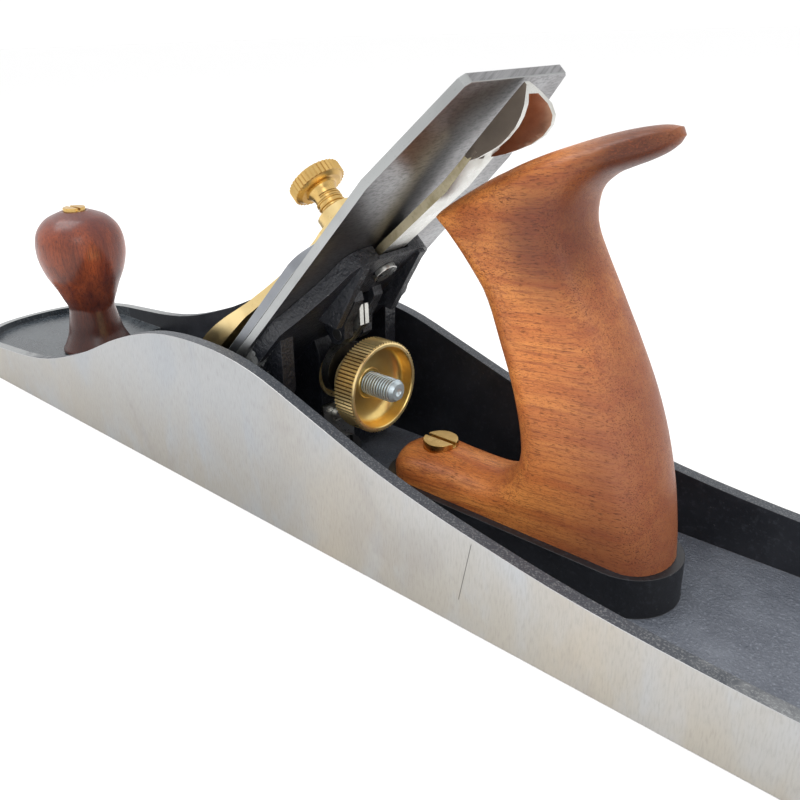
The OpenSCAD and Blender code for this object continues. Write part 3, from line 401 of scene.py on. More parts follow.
@dataclass(frozen=True)
class Brass:
    """Yellow metal with soft tarnish in patches and fine polishing lines."""

    name: str
    base: Colour
    tarnish: Colour
    rough: float = 0.25
    lines: Point = (1, 1, 1)
    turn: Point = (0, 0, 0)
    tarnish_share: float = 0.6
    line_depth: float = 0.003 * MM
    metallic: float = 1.0
    spot_share: float = 0.35
    swing: float = 0.2

    def build(self) -> bpy.types.Material:
        """Builds the finish.

        Returns:
            Its material.
        """
        sh = Shader(self.name, Metallic=self.metallic)
        lines = sh.noise(2 * MM, 3, 0.6, self.lines, self.turn)
        patches = sh.noise(9 * MM, 4, 0.6, warp=0.4)
        spots = sh.noise(0.8 * MM, 2, 0.5)
        share = patches.step(0.42, 0.7) * self.tarnish_share
        tone = sh.mix(share, self.base, self.tarnish)
        sh.set(Base_Color=sh.mix(spots.step(0.66, 0.75) * self.spot_share, tone,
                                 tuple(v * 0.5 for v in self.tarnish)),
               Roughness=self.rough + (lines - 0.5) * self.swing + share * self.swing * 0.7)
        if self.line_depth > 0:
            sh.bump((lines, self.line_depth))
        return sh.material


@dataclass(frozen=True)
class Japanning:
    """Black baked enamel over rough cast iron, with pits, dust, chips and grey painted reflection.
    """

    name: str
    base: Colour
    dust_and_sheen: Colour = srgb(58, 62, 70)
    chip: Colour = srgb(150, 150, 146)
    rough: float = 0.42
    chips: float = 0.0
    grain: float = 1.1 * MM
    grain_depth: float = 0.05 * MM
    dust_and_sheen_share: float = 0.35
    pebble: float = 0.0
    worn_at: tuple[Point, ...] = ()
    worn_reach: float = 8 * MM

    def build(self) -> bpy.types.Material:
        """Builds the finish.

        Returns:
            Its material.
        """
        sh = Shader(self.name, Specular_IOR_Level=0.6)
        cast = sh.noise(self.grain, 4, 0.6)
        waves = sh.noise(14 * MM, 3, 0.5)
        flecks = sh.noise(0.9 * MM, 3, 0.6, shift=(0.1, 0, 0))
        ragged = sh.noise(3.2 * MM, 4, 0.65, shift=(0, 0.1, 0))
        # The grey mixed in is dust, and on the floor and the toe pad also painted reflection
        tone = sh.mix(waves.step(0.3, 0.75) * self.dust_and_sheen_share * 0.5, self.base, self.dust_and_sheen)
        tone = sh.mix(cast.step(0.52, 0.7) * self.dust_and_sheen_share, tone, self.dust_and_sheen)
        chipped = flecks.step(0.72 - 0.1 * self.chips, 0.75 - 0.08 * self.chips)
        chipped = chipped * min(1.0, 0.4 + self.chips)
        for place in self.worn_at:
            bare = (ragged - 0.45) + (1 - sh.distance(place) * (1 / self.worn_reach)) * 0.5
            chipped = chipped.highest(bare.step(0.2, 0.24))
        sh.set(Base_Color=sh.mix(chipped, tone, self.chip),
               Roughness=self.rough + (cast - 0.5) * 0.25 + (waves - 0.5) * 0.15,
               Metallic=chipped * 0.6)
        layers = [(cast, self.grain_depth), (waves, 0.08 * MM), (chipped, -0.05 * MM)]
        if self.pebble > 0:
            layers.append((sh.noise(2.6 * MM, 2, 0.5, shift=(0, 0, 0.2)), self.pebble))
        sh.bump(*layers)
        return sh.material


@dataclass(frozen=True)
class RimPaint:
    """Thin grey-black paint on the wall's top edge, speckled with bare metal."""

    name: str
    paint: Colour = srgb(54, 58, 65)
    bare: Colour = srgb(158, 160, 160)
    heel_pale: tuple[float, float] = (0.09, 0.14)
    toe_pale: tuple[float, float] = (-0.22, -0.18)

    def build(self) -> bpy.types.Material:
        """Builds the finish.

        Returns:
            Its material.
        """
        sh = Shader(self.name)
        x, _, _ = sh.axes()
        speck = sh.noise(0.55 * MM, 3, 0.65)
        patch = sh.noise(5 * MM, 3, 0.6)
        # The rim turns pale metal grey towards the heel and the toe
        along = x + (patch - 0.5) * 0.06
        pale_ends = along.step(*self.heel_pale).highest(1 - along.step(*self.toe_pale))
        share = (speck.step(0.5, 0.64) * 0.35 + pale_ends * 0.75).lowest(1.0)
        sh.set(Base_Color=sh.mix(share, self.paint, self.bare),
               Roughness=0.55 + (speck - 0.5) * 0.3, Metallic=share * 0.7)
        sh.bump((speck, 0.05 * MM))
        return sh.material


@dataclass(frozen=True)
class Shade:
    """A darker patch of painted shade, or of dull painted reflection, in wood: its centre, reach,
    colour and strength.
    """

    centre: Point
    reach: float
    colour: Colour
    share: float


@dataclass(frozen=True)
class Wood:
    """Lacquered hardwood: long growth streaks, short dark pores, a soft sheen, and painted shade
    and reflection.
    """

    name: str
    light: Colour
    middle: Colour
    dark: Colour
    pore: Colour
    rough: float
    coat: float
    turn: Point
    pore_share: float = 0.6
    streak: float = 5 * MM
    shades: tuple[Shade, ...] = ()
    # Painted shade: between these two places the handle darkens towards its back
    back_shade_from: tuple[float, float] | None = None
    back_shade_lean: float = 0.0
    back: Colour = srgb(128, 76, 58)

    def build(self) -> bpy.types.Material:
        """Builds the finish.

        Returns:
            Its material.
        """
        sh = Shader(self.name, Metallic=0.0, Coat_Weight=self.coat, Coat_Roughness=0.2,
                    Specular_IOR_Level=0.3)
        x, _, z = sh.axes()
        growth = sh.noise(self.streak, 4, 0.6, (0.07, 1.0, 1.0), self.turn, warp=0.3)
        fine = sh.noise(0.7 * MM, 3, 0.65, (0.05, 1, 1), self.turn)
        pores = sh.noise(0.25 * MM, 2, 0.5, (0.11, 1, 1), self.turn, (0.03, 0, 0.01))
        stipple = sh.noise(0.32 * MM, 2, 0.6, (0.5, 1, 1), self.turn)
        crowd = sh.noise(7 * MM, 3, 0.5, (0.5, 1, 1), self.turn, (0, 0.2, 0))
        blotch = sh.noise(24 * MM, 3, 0.5, shift=(0.05, 0, 0))
        tone = sh.mix(growth.step(0.34, 0.68), self.light, self.middle)
        tone = sh.mix(blotch.step(0.48, 0.75) * 0.55, tone, self.dark)
        tone = sh.mix(fine.step(0.46, 0.68) * 0.6, tone, self.dark)
        # Painted shade towards the back of the handle
        if self.back_shade_from:
            behind = (x + z * self.back_shade_lean + (blotch - 0.5) * 0.016).step(*self.back_shade_from)
            tone = sh.mix(behind * 0.75, tone, self.back)
        # Darker patches of painted shade, and on the knob's top of painted reflection
        for shade in self.shades:
            away = sh.distance(shade.centre) + (blotch - 0.5) * 0.02
            near = 1 - away.step(shade.reach * 0.2, shade.reach)
            tone = sh.mix(near * shade.share, tone, shade.colour)
        tone = sh.mix(stipple.step(0.54, 0.66) * 0.45, tone, self.dark)
        marks = pores.step(0.56, 0.64) * (crowd.step(0.3, 0.6) * 0.6 + 0.4) * self.pore_share
        sh.set(Base_Color=sh.mix(marks, tone, self.pore),
               Roughness=self.rough + (growth - 0.5) * 0.1 + marks * 0.25)
        sh.bump((pores.step(0.55, 0.66), -0.03 * MM), (fine, 0.01 * MM))
        return sh.material


Finish = GroundMetal | SideMetal | Brass | Japanning | RimPaint | Wood


@cache
def built(finish: Finish) -> bpy.types.Material:
    """Returns a finish's material, built at its first use."""
    return finish.build()


class Paint(Enum):
    """Every finish of the object, with the material's own name first."""

    SIDE = SideMetal("ground_sides")
    RIM = RimPaint("rim_paint")
    INSIDE = Japanning("inside_enamel", srgb(27, 29, 35), srgb(72, 76, 84), rough=0.4)
    # Floor: grey that is partly dust and partly painted reflection of the white surroundings
    FLOOR = Japanning("floor_enamel", srgb(88, 93, 103), srgb(146, 152, 162), chips=0.15,
                      grain=0.8 * MM, grain_depth=0.55 * MM, dust_and_sheen_share=0.55, pebble=0.5 * MM)
    # Toe pad: grey that is partly dust and partly painted reflection of the white surroundings
    PAD = Japanning("toe_enamel", srgb(44, 50, 56), srgb(92, 98, 102), rough=0.3, dust_and_sheen_share=0.7,
                    grain=1.6 * MM)
    ARRIS = GroundMetal("bare_arris", srgb(172, 173, 174), srgb(196, 196, 194), rough=0.38,
                        speck=0.3, metallic=0.85)
    BOSS = Japanning("boss_enamel", srgb(20, 21, 25), rough=0.45, chips=0.1)
    FROG = Japanning("frog_enamel", srgb(22, 24, 30), srgb(50, 54, 62), srgb(196, 198, 198),
                     rough=0.36, dust_and_sheen_share=0.4, grain=0.9 * MM, grain_depth=0.4 * MM,
                     pebble=0.5 * MM, worn_at=((-0.0575, -0.0285, 0.0520),))
    CHIPPED = Japanning("chipped_edge", srgb(36, 38, 44), srgb(80, 83, 88), srgb(196, 198, 198),
                        rough=0.5, chips=0.5, worn_at=((-0.0545, -0.0285, 0.0540),))
    IRON = GroundMetal("ground_iron", srgb(150, 150, 152), srgb(112, 108, 108), rough=0.33,
                       lines=(1.0, 0.06, 1.0), turn=(24, -45, 0), line_size=0.7 * MM,
                       line_depth=0.015 * MM, line_share=0.75, cloud_size=26 * MM)
    IRON_EDGE = GroundMetal("iron_edge", srgb(172, 174, 174), srgb(144, 146, 146), rough=0.4,
                            lines=(0.1, 1, 1), turn=(0, -45, 0), line_size=0.8 * MM)
    CAP_IRON = GroundMetal("cap_iron_steel", srgb(140, 143, 148), srgb(118, 120, 126),
                           rough=0.38, lines=(1, 0.08, 1), turn=(0, -45, 0))
    NICKEL = GroundMetal("bright_plate", srgb(206, 206, 202), srgb(184, 182, 174), rough=0.3,
                         speck=0.3, line_size=1.5 * MM, cloud_size=9 * MM)
    SHEARED = GroundMetal("sheared_edge", srgb(206, 196, 166), srgb(160, 146, 112), rough=0.5,
                          speck=0.4, line_size=1 * MM, line_depth=0.02 * MM, cloud_size=4 * MM)
    YOKE = GroundMetal("yoke_plate", srgb(168, 164, 156), srgb(104, 98, 90), rough=0.4,
                       speck=0.3, cloud_size=4 * MM)
    # Painted shade: the yoke's low fork faces, which sit in the frog's recess
    FORK = GroundMetal("fork_face", srgb(74, 74, 76), srgb(50, 50, 54), rough=0.45, speck=0.4,
                       cloud_size=6 * MM)
    # Painted reflection: the wings' browns stand for what the plated tab mirrors, on the near wing
    # the iron's dark back
    WING = GroundMetal("wing_face", srgb(104, 94, 84), srgb(84, 76, 68), rough=0.55, speck=0.15,
                       metallic=0.55, line_depth=0.02 * MM, cloud_size=12 * MM)
    WING_INSIDE = GroundMetal("wing_inside", srgb(166, 126, 102), srgb(132, 98, 78), speck=0.15,
                              metallic=0.9, cloud_size=10 * MM)
    SCREW = GroundMetal("dull_screw", srgb(120, 120, 120), srgb(88, 86, 84), rough=0.42,
                        speck=0.4)
    ZINC = GroundMetal("zinc_stud", srgb(206, 220, 226), srgb(184, 198, 204), rough=0.36,
                       speck=0.1, metallic=0.55)
    CAP = Brass("pale_brass", srgb(222, 198, 144), srgb(204, 174, 116), rough=0.32,
                lines=(0.1, 1, 1), turn=(0, -45, 0))
    WHEEL = Brass("wheel_brass", srgb(250, 224, 162), srgb(218, 178, 110), rough=0.3,
                  tarnish_share=0.4, line_depth=0.001 * MM, metallic=0.8, spot_share=0.1)
    BOWL = Brass("polished_brass", srgb(238, 208, 134), srgb(206, 166, 98), rough=0.3,
                 tarnish_share=0.3, line_depth=0.0, metallic=0.92, spot_share=0.0, swing=0.03)
    # Band between the knurl's ridges: partly grime, partly painted shade
    GROOVES = Brass("grime_and_shade_grooves", srgb(96, 66, 34), srgb(58, 40, 24), rough=0.5, metallic=0.5)
    THUMB = Brass("thumb_brass", srgb(204, 170, 106), srgb(176, 138, 78), rough=0.28,
                  tarnish_share=0.5)
    KNOB = Wood("knob_wood", srgb(166, 80, 42), srgb(112, 48, 32), srgb(52, 21, 18),
                srgb(32, 12, 10), rough=0.34, coat=0.3, turn=(0, 90, 0), pore_share=0.4,
                streak=7 * MM,
                # Painted shade on the knob's foot and neck below the ball
                shades=(Shade((-0.2115, 0.0, 0.010), 52 * MM, srgb(44, 16, 14), 0.95),
                        # Painted reflection: the glossy top darkened to purple-brown
                        Shade((-0.2115, 0.0, 0.074), 32 * MM, srgb(82, 40, 38), 0.85)))
    TOTE = Wood("tote_wood", srgb(224, 144, 74), srgb(194, 110, 54), srgb(136, 68, 38),
                srgb(58, 26, 18), rough=0.42, coat=0.05, turn=(0, -6, 0),
                # Painted shade under the horn and on the horn's side
                shades=(Shade((0.042, -0.010, 0.101), 26 * MM, srgb(84, 38, 30), 0.85),
                        Shade((0.057, -0.006, 0.117), 20 * MM, srgb(68, 28, 20), 0.9)),
                # Painted shade: the handle darker towards its back
                back_shade_from=(0.022, 0.062), back_shade_lean=-0.1)


@dataclass(frozen=True)
class Edge:
    """How the sharp edges of a solid are eased. Its angles are degrees.

    join_flat first joins the solid's triangles into flat faces.
    """

    width: float = 0.3 * MM
    segments: int = 2
    angle: float = 30.0
    join_flat: bool = True
    smooth_below: float = 50.0


def put_in_scene(name: str, data: bpy.types.ID) -> bpy.types.Object:
    """Makes an object and links it to the scene.

    Args:
        name: Name of the object.
        data: Its mesh, light or camera.

    Returns:
        The object.
    """
    made = bpy.data.objects.new(name, data)
    bpy.context.scene.collection.objects.link(made)
    return made


def welded(source: bpy.types.Object) -> bmesh.types.BMesh:
    """Copies a solid's mesh to work on, and merges its doubles.

    Args:
        source: The solid.

    Returns:
        The working copy.
    """
    work = bmesh.new()
    work.from_mesh(source.data)
    bmesh.ops.remove_doubles(work, verts=work.verts, dist=MERGE_DISTANCE)
    return work


def piece_of(name: str, work: bmesh.types.BMesh, place: Matrix = Matrix.Identity(4),
             finishes: Sequence[Paint] = ()) -> bpy.types.Object:
    """Ends the work on a mesh and puts it in the scene.

    Args:
        name: Name of the piece.
        work: The mesh that was worked on.
        place: Where its own frame lies in the object's.
        finishes: Its finishes.

    Returns:
        The piece, at the origin.
    """
    mesh = bpy.data.meshes.new(name)
    work.to_mesh(mesh)
    work.free()
    mesh.transform(place)
    mesh.shade_smooth()
    for finish in finishes:
        mesh.materials.append(built(finish.value))
    return put_in_scene(name, mesh)


def bake_modifiers(piece: bpy.types.Object) -> bpy.types.Object:
    """Turns a piece with modifiers into a plain mesh.

    Args:
        piece: The piece.

    Returns:
        The same piece, with its final mesh.
    """
    graph = bpy.context.evaluated_depsgraph_get()
    final = bpy.data.meshes.new_from_object(piece.evaluated_get(graph))
    piece.modifiers.clear()
    piece.data = final
    final.name = piece.name
    return piece


def eased(name: str, source: bpy.types.Object, edge: Edge, finishes: Sequence[Paint],
          edge_slot: int = -1) -> bpy.types.Object:
    """Copies a solid into one welded mesh with eased edges.

    Args:
        name: Name of the new piece.
        source: The solid.
        edge: How its edges are eased.
        finishes: Its finishes; the first is on every face to begin with.
        edge_slot: Which of them the eased edges get, or -1 for their neighbours'.

    Returns:
        The new piece, at the origin.
    """
    work = welded(source)
    if edge.join_flat:
        bmesh.ops.dissolve_limit(work, angle_limit=FLAT_ANGLE, verts=work.verts,
                                 edges=work.edges)
    for face in work.faces:
        face.material_index = 0
    piece = piece_of(name, work, finishes=finishes)
    if edge.width > 0:
        bevel = piece.modifiers.new("ease", "BEVEL")
        bevel.limit_method = "ANGLE"
        bevel.angle_limit = math.radians(edge.angle)
        bevel.width = edge.width
        bevel.segments = edge.segments
        bevel.material = edge_slot
        bevel.miter_outer = "MITER_ARC"
        bake_modifiers(piece)
    piece.data.set_sharp_from_angle(angle=math.radians(edge.smooth_below))
    piece.modifiers.new("even", "WEIGHTED_NORMAL").keep_sharp = True
    return bake_modifiers(piece)


def settle(piece: bpy.types.Object, node: str, *replaced: str) -> None:
    """Puts a finished piece on its body and reports it.

    Args:
        piece: The piece.
        node: The solid whose body it takes.
        replaced: Solids that it stands for.
    """
    body = frame["nodes"][node]["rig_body"]
    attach(piece, body)
    next(part["material_slot"] for part in frame["record"]["subparts"]
                        if part["node"] == node)
    if replaced:
        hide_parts(*replaced)
    LOG.info("%s: %d faces on %s", piece.name, len(piece.data.polygons), body)


def dress(node: str, finish: Paint, edge: Edge, *more: Paint) -> bpy.types.Object:
    """Stands a welded, eased copy in for a solid.

    Args:
        node: The solid.
        finish: Its finish.
        edge: How its edges are eased.
        more: The eased edges' finish, if it differs, and any that are given out later.

    Returns:
        The piece.
    """
    piece = eased(f"{node}_dressed", frame["nodes"][node], edge, (finish, *more),
                  1 if more else -1)
    settle(piece, node, node)
    return piece


class Tree(Graph):
    """A Geometry Nodes group that is built in the script."""

    def __init__(self, name: str, **inputs: tuple[str, Any]) -> None:
        """Makes the group.

        Args:
            name: The group's name.
            inputs: Name of each input, and its socket type and value.
        """
        super().__init__(bpy.data.node_groups.new(name, "GeometryNodeTree"))
        sockets = self.tree.interface
        sockets.new_socket("Geometry", in_out="OUTPUT", socket_type="NodeSocketGeometry")
        self.names: dict[str, str] = {}
        for key, (kind, value) in inputs.items():
            made = sockets.new_socket(key, in_out="INPUT", socket_type=kind)
            made.default_value = value
            self.names[key] = made.identifier
        self.source = self.tree.nodes.new("NodeGroupInput")
        self.sink = self.tree.nodes.new("NodeGroupOutput")

    def value(self, key: str) -> Socket:
        """Returns a named input."""
        return Socket(self, self.source.outputs[key])

    def finish(self, geometry: Socket, material: bpy.types.Material) -> None:
        """Ends the group in Realize Instances and Set Material.

        Args:
            geometry: What the group has made.
            material: Its material.
        """
        real = self.node("GeometryNodeRealizeInstances", inputs={0: geometry})
        self.feed(self.sink.inputs[0], self.node(
            "GeometryNodeSetMaterial", inputs={"Geometry": real, "Material": material}))

    def mesh(self, name: str, place: Matrix, **values: Any) -> bpy.types.Object:
        """Runs the group and keeps what it makes as a plain mesh.

        Args:
            name: Name of the piece.
            place: Where the group's own frame lies in the object's.
            values: Inputs by name.

        Returns:
            The piece, at the origin.
        """
        piece = put_in_scene(name, bpy.data.meshes.new(name))
        run = piece.modifiers.new("pattern", "NODES")
        run.node_group = self.tree
        for key, value in values.items():
            run[self.names[key]] = value
        bake_modifiers(piece).data.transform(place)
        return piece


def knurl(name: str, place: Matrix, finish: Paint, count: int, radius: float, length: float,
          height: float, share: float) -> bpy.types.Object:
    """Sets straight ridges round the Z axis of a place. Lengths are millimetres.

    Args:
        name: Name of the piece.
        place: Where the ring of ridges lies; its origin is the ring's middle.
        finish: Finish of the ridges.
        count: Number of ridges.
        radius: Radius of the ground that they stand on.
        length: Length of a ridge.
        height: Height of a ridge.
        share: How far a ridge fills its pitch.

    Returns:
        The piece.
    """
    tree = Tree("straight_knurl", Count=("NodeSocketInt", 60),
                Radius=("NodeSocketFloat", 15 * MM), Length=("NodeSocketFloat", 7 * MM),
                Width=("NodeSocketFloat", 0.5 * MM), Height=("NodeSocketFloat", 0.3 * MM))
    ring = tree.node("GeometryNodeMeshCircle", {"fill_type": "NONE"},
                     {"Vertices": tree.value("Count"), "Radius": tree.value("Radius")})
    ridge = tree.node("GeometryNodeMeshCylinder", {"fill_type": "NGON"},
                      {"Vertices": 4, "Radius": 1.0, "Depth": tree.value("Length")},
                      output="Mesh")
    size = tree.node("ShaderNodeCombineXYZ",
                     inputs={0: tree.value("Height"), 1: tree.value("Width"), 2: 1.0})
    slim = tree.node("GeometryNodeTransform", inputs={"Geometry": ridge, "Scale": size})
    angle = tree.node("GeometryNodeInputIndex") / tree.value("Count") * (2 * math.pi)
    turn = tree.node("ShaderNodeCombineXYZ", inputs={2: angle})
    tree.finish(tree.node("GeometryNodeInstanceOnPoints",
                          inputs={"Points": ring, "Instance": slim, "Rotation": turn}),
                built(finish.value))
    return tree.mesh(name, place, Count=count, Radius=radius * MM, Length=length * MM,
                     Width=share * math.pi * radius * MM / count, Height=height * MM)


def thread(name: str, place: Matrix, finish: Paint, pitch: float, radius: float, length: float,
           ridge: float) -> bpy.types.Object:
    """Winds a screw thread round the Z axis of a place. Lengths are millimetres.

    Args:
        name: Name of the piece.
        place: Where the thread starts.
        finish: Its finish.
        pitch: Rise of one turn.
        radius: Radius of the core.
        length: Length of the threaded stretch.
        ridge: Height of the thread over the core.

    Returns:
        The piece.
    """
    tree = Tree("screw_thread", Turns=("NodeSocketFloat", 8.0),
                Radius=("NodeSocketFloat", 4 * MM), Length=("NodeSocketFloat", 9 * MM),
                Ridge=("NodeSocketFloat", 0.4 * MM), Steps=("NodeSocketInt", 28))
    spiral = tree.node("GeometryNodeCurveSpiral",
                       inputs={"Resolution": tree.value("Steps"),
                               "Rotations": tree.value("Turns"),
                               "Start Radius": tree.value("Radius"),
                               "End Radius": tree.value("Radius"),
                               "Height": tree.value("Length")})
    profile = tree.node("GeometryNodeCurvePrimitiveCircle", {"mode": "RADIUS"},
                        {"Resolution": 4, "Radius": tree.value("Ridge")})
    tree.finish(tree.node("GeometryNodeCurveToMesh",
                          inputs={"Curve": spiral, "Profile Curve": profile, "Fill Caps": True}),
                built(finish.value))
    return tree.mesh(name, place, Turns=length / pitch, Radius=radius * MM, Length=length * MM,
                     Ridge=ridge * MM)


def lathe(name: str, profile: Sequence[tuple[float, float]], place: Matrix,
          finishes: Sequence[Paint] = (), steps: int = 96, closed: bool = False
          ) -> bpy.types.Object:
    """Turns an outline round the Z axis of a place.

    Args:
        name: Name of the piece.
        profile: Radius and height of each point in millimetres, in order.
        place: Where the outline's own frame lies in the object's.
        finishes: Its finishes.
        steps: Number of facets round.
        closed: Whether the last point joins the first.

    Returns:
        The piece, at the origin, with its faces outwards.
    """
    work = bmesh.new()
    turns = [2 * math.pi * k / steps for k in range(steps)]
    rings = [[work.verts.new((radius * MM * math.cos(turn), radius * MM * math.sin(turn),
                              height * MM)) for turn in turns] for radius, height in profile]
    skin(work, rings + rings[:1] if closed else rings)
    bmesh.ops.remove_doubles(work, verts=work.verts, dist=MERGE_DISTANCE)
    bmesh.ops.recalc_face_normals(work, faces=work.faces)
    piece = piece_of(name, work, place, finishes)
    piece.data.set_sharp_from_angle(angle=TURNED_SMOOTH_BELOW)
    return piece


def skin(work: bmesh.types.BMesh, rings: Sequence[Sequence[bmesh.types.BMVert]]) -> None:
    """Joins each ring of points to the next with faces.

    Args:
        work: The mesh that is worked on.
        rings: Rings with the same number of points.
    """
    for low, high in zip(rings, rings[1:]):
        for k, point in enumerate(low):
            n = (k + 1) % len(low)
            work.faces.new((point, low[n], high[n], high[k]))


def between(table: Sequence[Sequence[float]], at: float, column: int = 1) -> float:
    """Reads a table of rising places and values, with straight steps between its rows.

    Args:
        table: Place and values of each row.
        at: The place that is wanted.
        column: Which of the values is wanted, counted from 1.

    Returns:
        The value there.
    """
    if at <= table[0][0]:
        return table[0][column]
    for low, high in zip(table, table[1:]):
        if at <= high[0]:
            rise = high[column] - low[column]
            return low[column] + rise * (at - low[0]) / (high[0] - low[0])
    return table[-1][column]


def turned_about_y(place: Point, degrees: float) -> Matrix:
    """Returns the frame at a place in millimetres, turned about its Y axis."""
    return Matrix.Translation([v * MM for v in place]) @ Matrix.Rotation(
        math.radians(degrees), 4, "Y")


@dataclass
class Bed:
    """The frog's sloping bed: distances up it, and heights above its face, in millimetres."""

    foot_x: float = -110.04
    angle: float = 45.0

    def place(self, up: float = 0.0, height: float = 0.0) -> Matrix:
        """Returns the frame of a point on the bed, with its Z out of the bed."""
        return turned_about_y((self.foot_x, 0, 0), -self.angle) @ Matrix.Translation(
            (up * MM, 0, height * MM))


@dataclass
class SoleCasting:
    """Sole, walls, pads and bosses in one casting, with a finish for each zone."""

    node: str = "body"
    half_width: float = 37.5 * MM
    side_skin: float = 0.3 * MM
    wall: float = 4.1 * MM
    bare_skin: float = 0.8 * MM
    bare_below: float = 1 * MM
    sole_below: float = 0.4 * MM
    rim_above: float = 12.5 * MM
    floor_below: float = 7 * MM
    pad_below: float = 15 * MM
    pad_to_x: float = -0.186
    boss_x: tuple[float, float] = (-0.020, 0.079)
    boss_half: float = 14.6 * MM
    end_reach: float = 42 * MM
    end_centre_x: float = 0.235
    end_rim_x: float = 0.24

    def finish_at(self, centre: Vector, normal: Vector, reach: float) -> Paint:
        """Chooses the finish of a face.

        Args:
            centre: The face's middle.
            normal: Its direction.
            reach: Half the casting's length.

        Returns:
            The finish.
        """
        if normal.z < -SQUARELY and centre.z < self.sole_below:
            return Paint.SIDE
        if abs(centre.y) > self.half_width - self.side_skin and abs(normal.y) > MOSTLY:
            return Paint.SIDE
        if reach - abs(centre.x) < self.end_reach and abs(normal.z) < MOSTLY:
            bend = math.copysign(self.end_centre_x, centre.x)
            if normal.x * (centre.x - bend) + normal.y * centre.y > 0:
                return Paint.SIDE
        if normal.z > MOSTLY and self.on_rim(centre):
            return Paint.RIM
        if self.boss_x[0] < centre.x < self.boss_x[1] and abs(centre.y) < self.boss_half:
            return Paint.BOSS
        if centre.x < self.pad_to_x and centre.z < self.pad_below:
            return Paint.PAD
        if normal.z > SQUARELY and centre.z < self.floor_below:
            return Paint.FLOOR
        return Paint.INSIDE

    def on_rim(self, centre: Vector) -> bool:
        """Tells whether a point lies on the top of the wall or of an end rim."""
        on_wall = abs(centre.y) > self.half_width - self.wall
        return centre.z >= self.rim_above and (on_wall or abs(centre.x) > self.end_rim_x)

    def bare(self, centre: Vector) -> bool:
        """Tells whether an eased edge at a point is worn bare."""
        return abs(centre.y) > self.half_width - self.bare_skin or centre.z < self.bare_below

    def build(self) -> None:
        """Makes and dresses the casting."""
        finishes = [Paint.SIDE, Paint.RIM, Paint.INSIDE, Paint.PAD, Paint.ARRIS, Paint.BOSS,
                    Paint.FLOOR]
        arris = finishes.index(Paint.ARRIS)
        piece = eased("body_dressed", frame["nodes"][self.node], Edge(0.45 * MM, 3), finishes,
                      arris)
        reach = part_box(self.node)[1].x
        for face in piece.data.polygons:
            if face.material_index != arris or not self.bare(face.center):
                face.material_index = finishes.index(
                    self.finish_at(face.center, face.normal, reach))
        settle(piece, self.node, self.node)


@dataclass
class FrogUnit:
    """Frog, its screws, washers, clip and adjusting screw."""

    edge: Edge = Edge(0.2 * MM)

    def build(self) -> None:
        """Makes and dresses the pieces."""
        dress("frog", Paint.FROG, Edge(0.5 * MM), Paint.CHIPPED)
        for node in ("frog_screws", "frog_washers", "frog_adjusting_screw"):
            dress(node, Paint.SCREW, self.edge)
        for node in ("frog_clip", "frog_clip_screw", "lateral_pivot"):
            dress(node, Paint.NICKEL, self.edge)
        dress("yoke_pin", Paint.SCREW, self.edge)


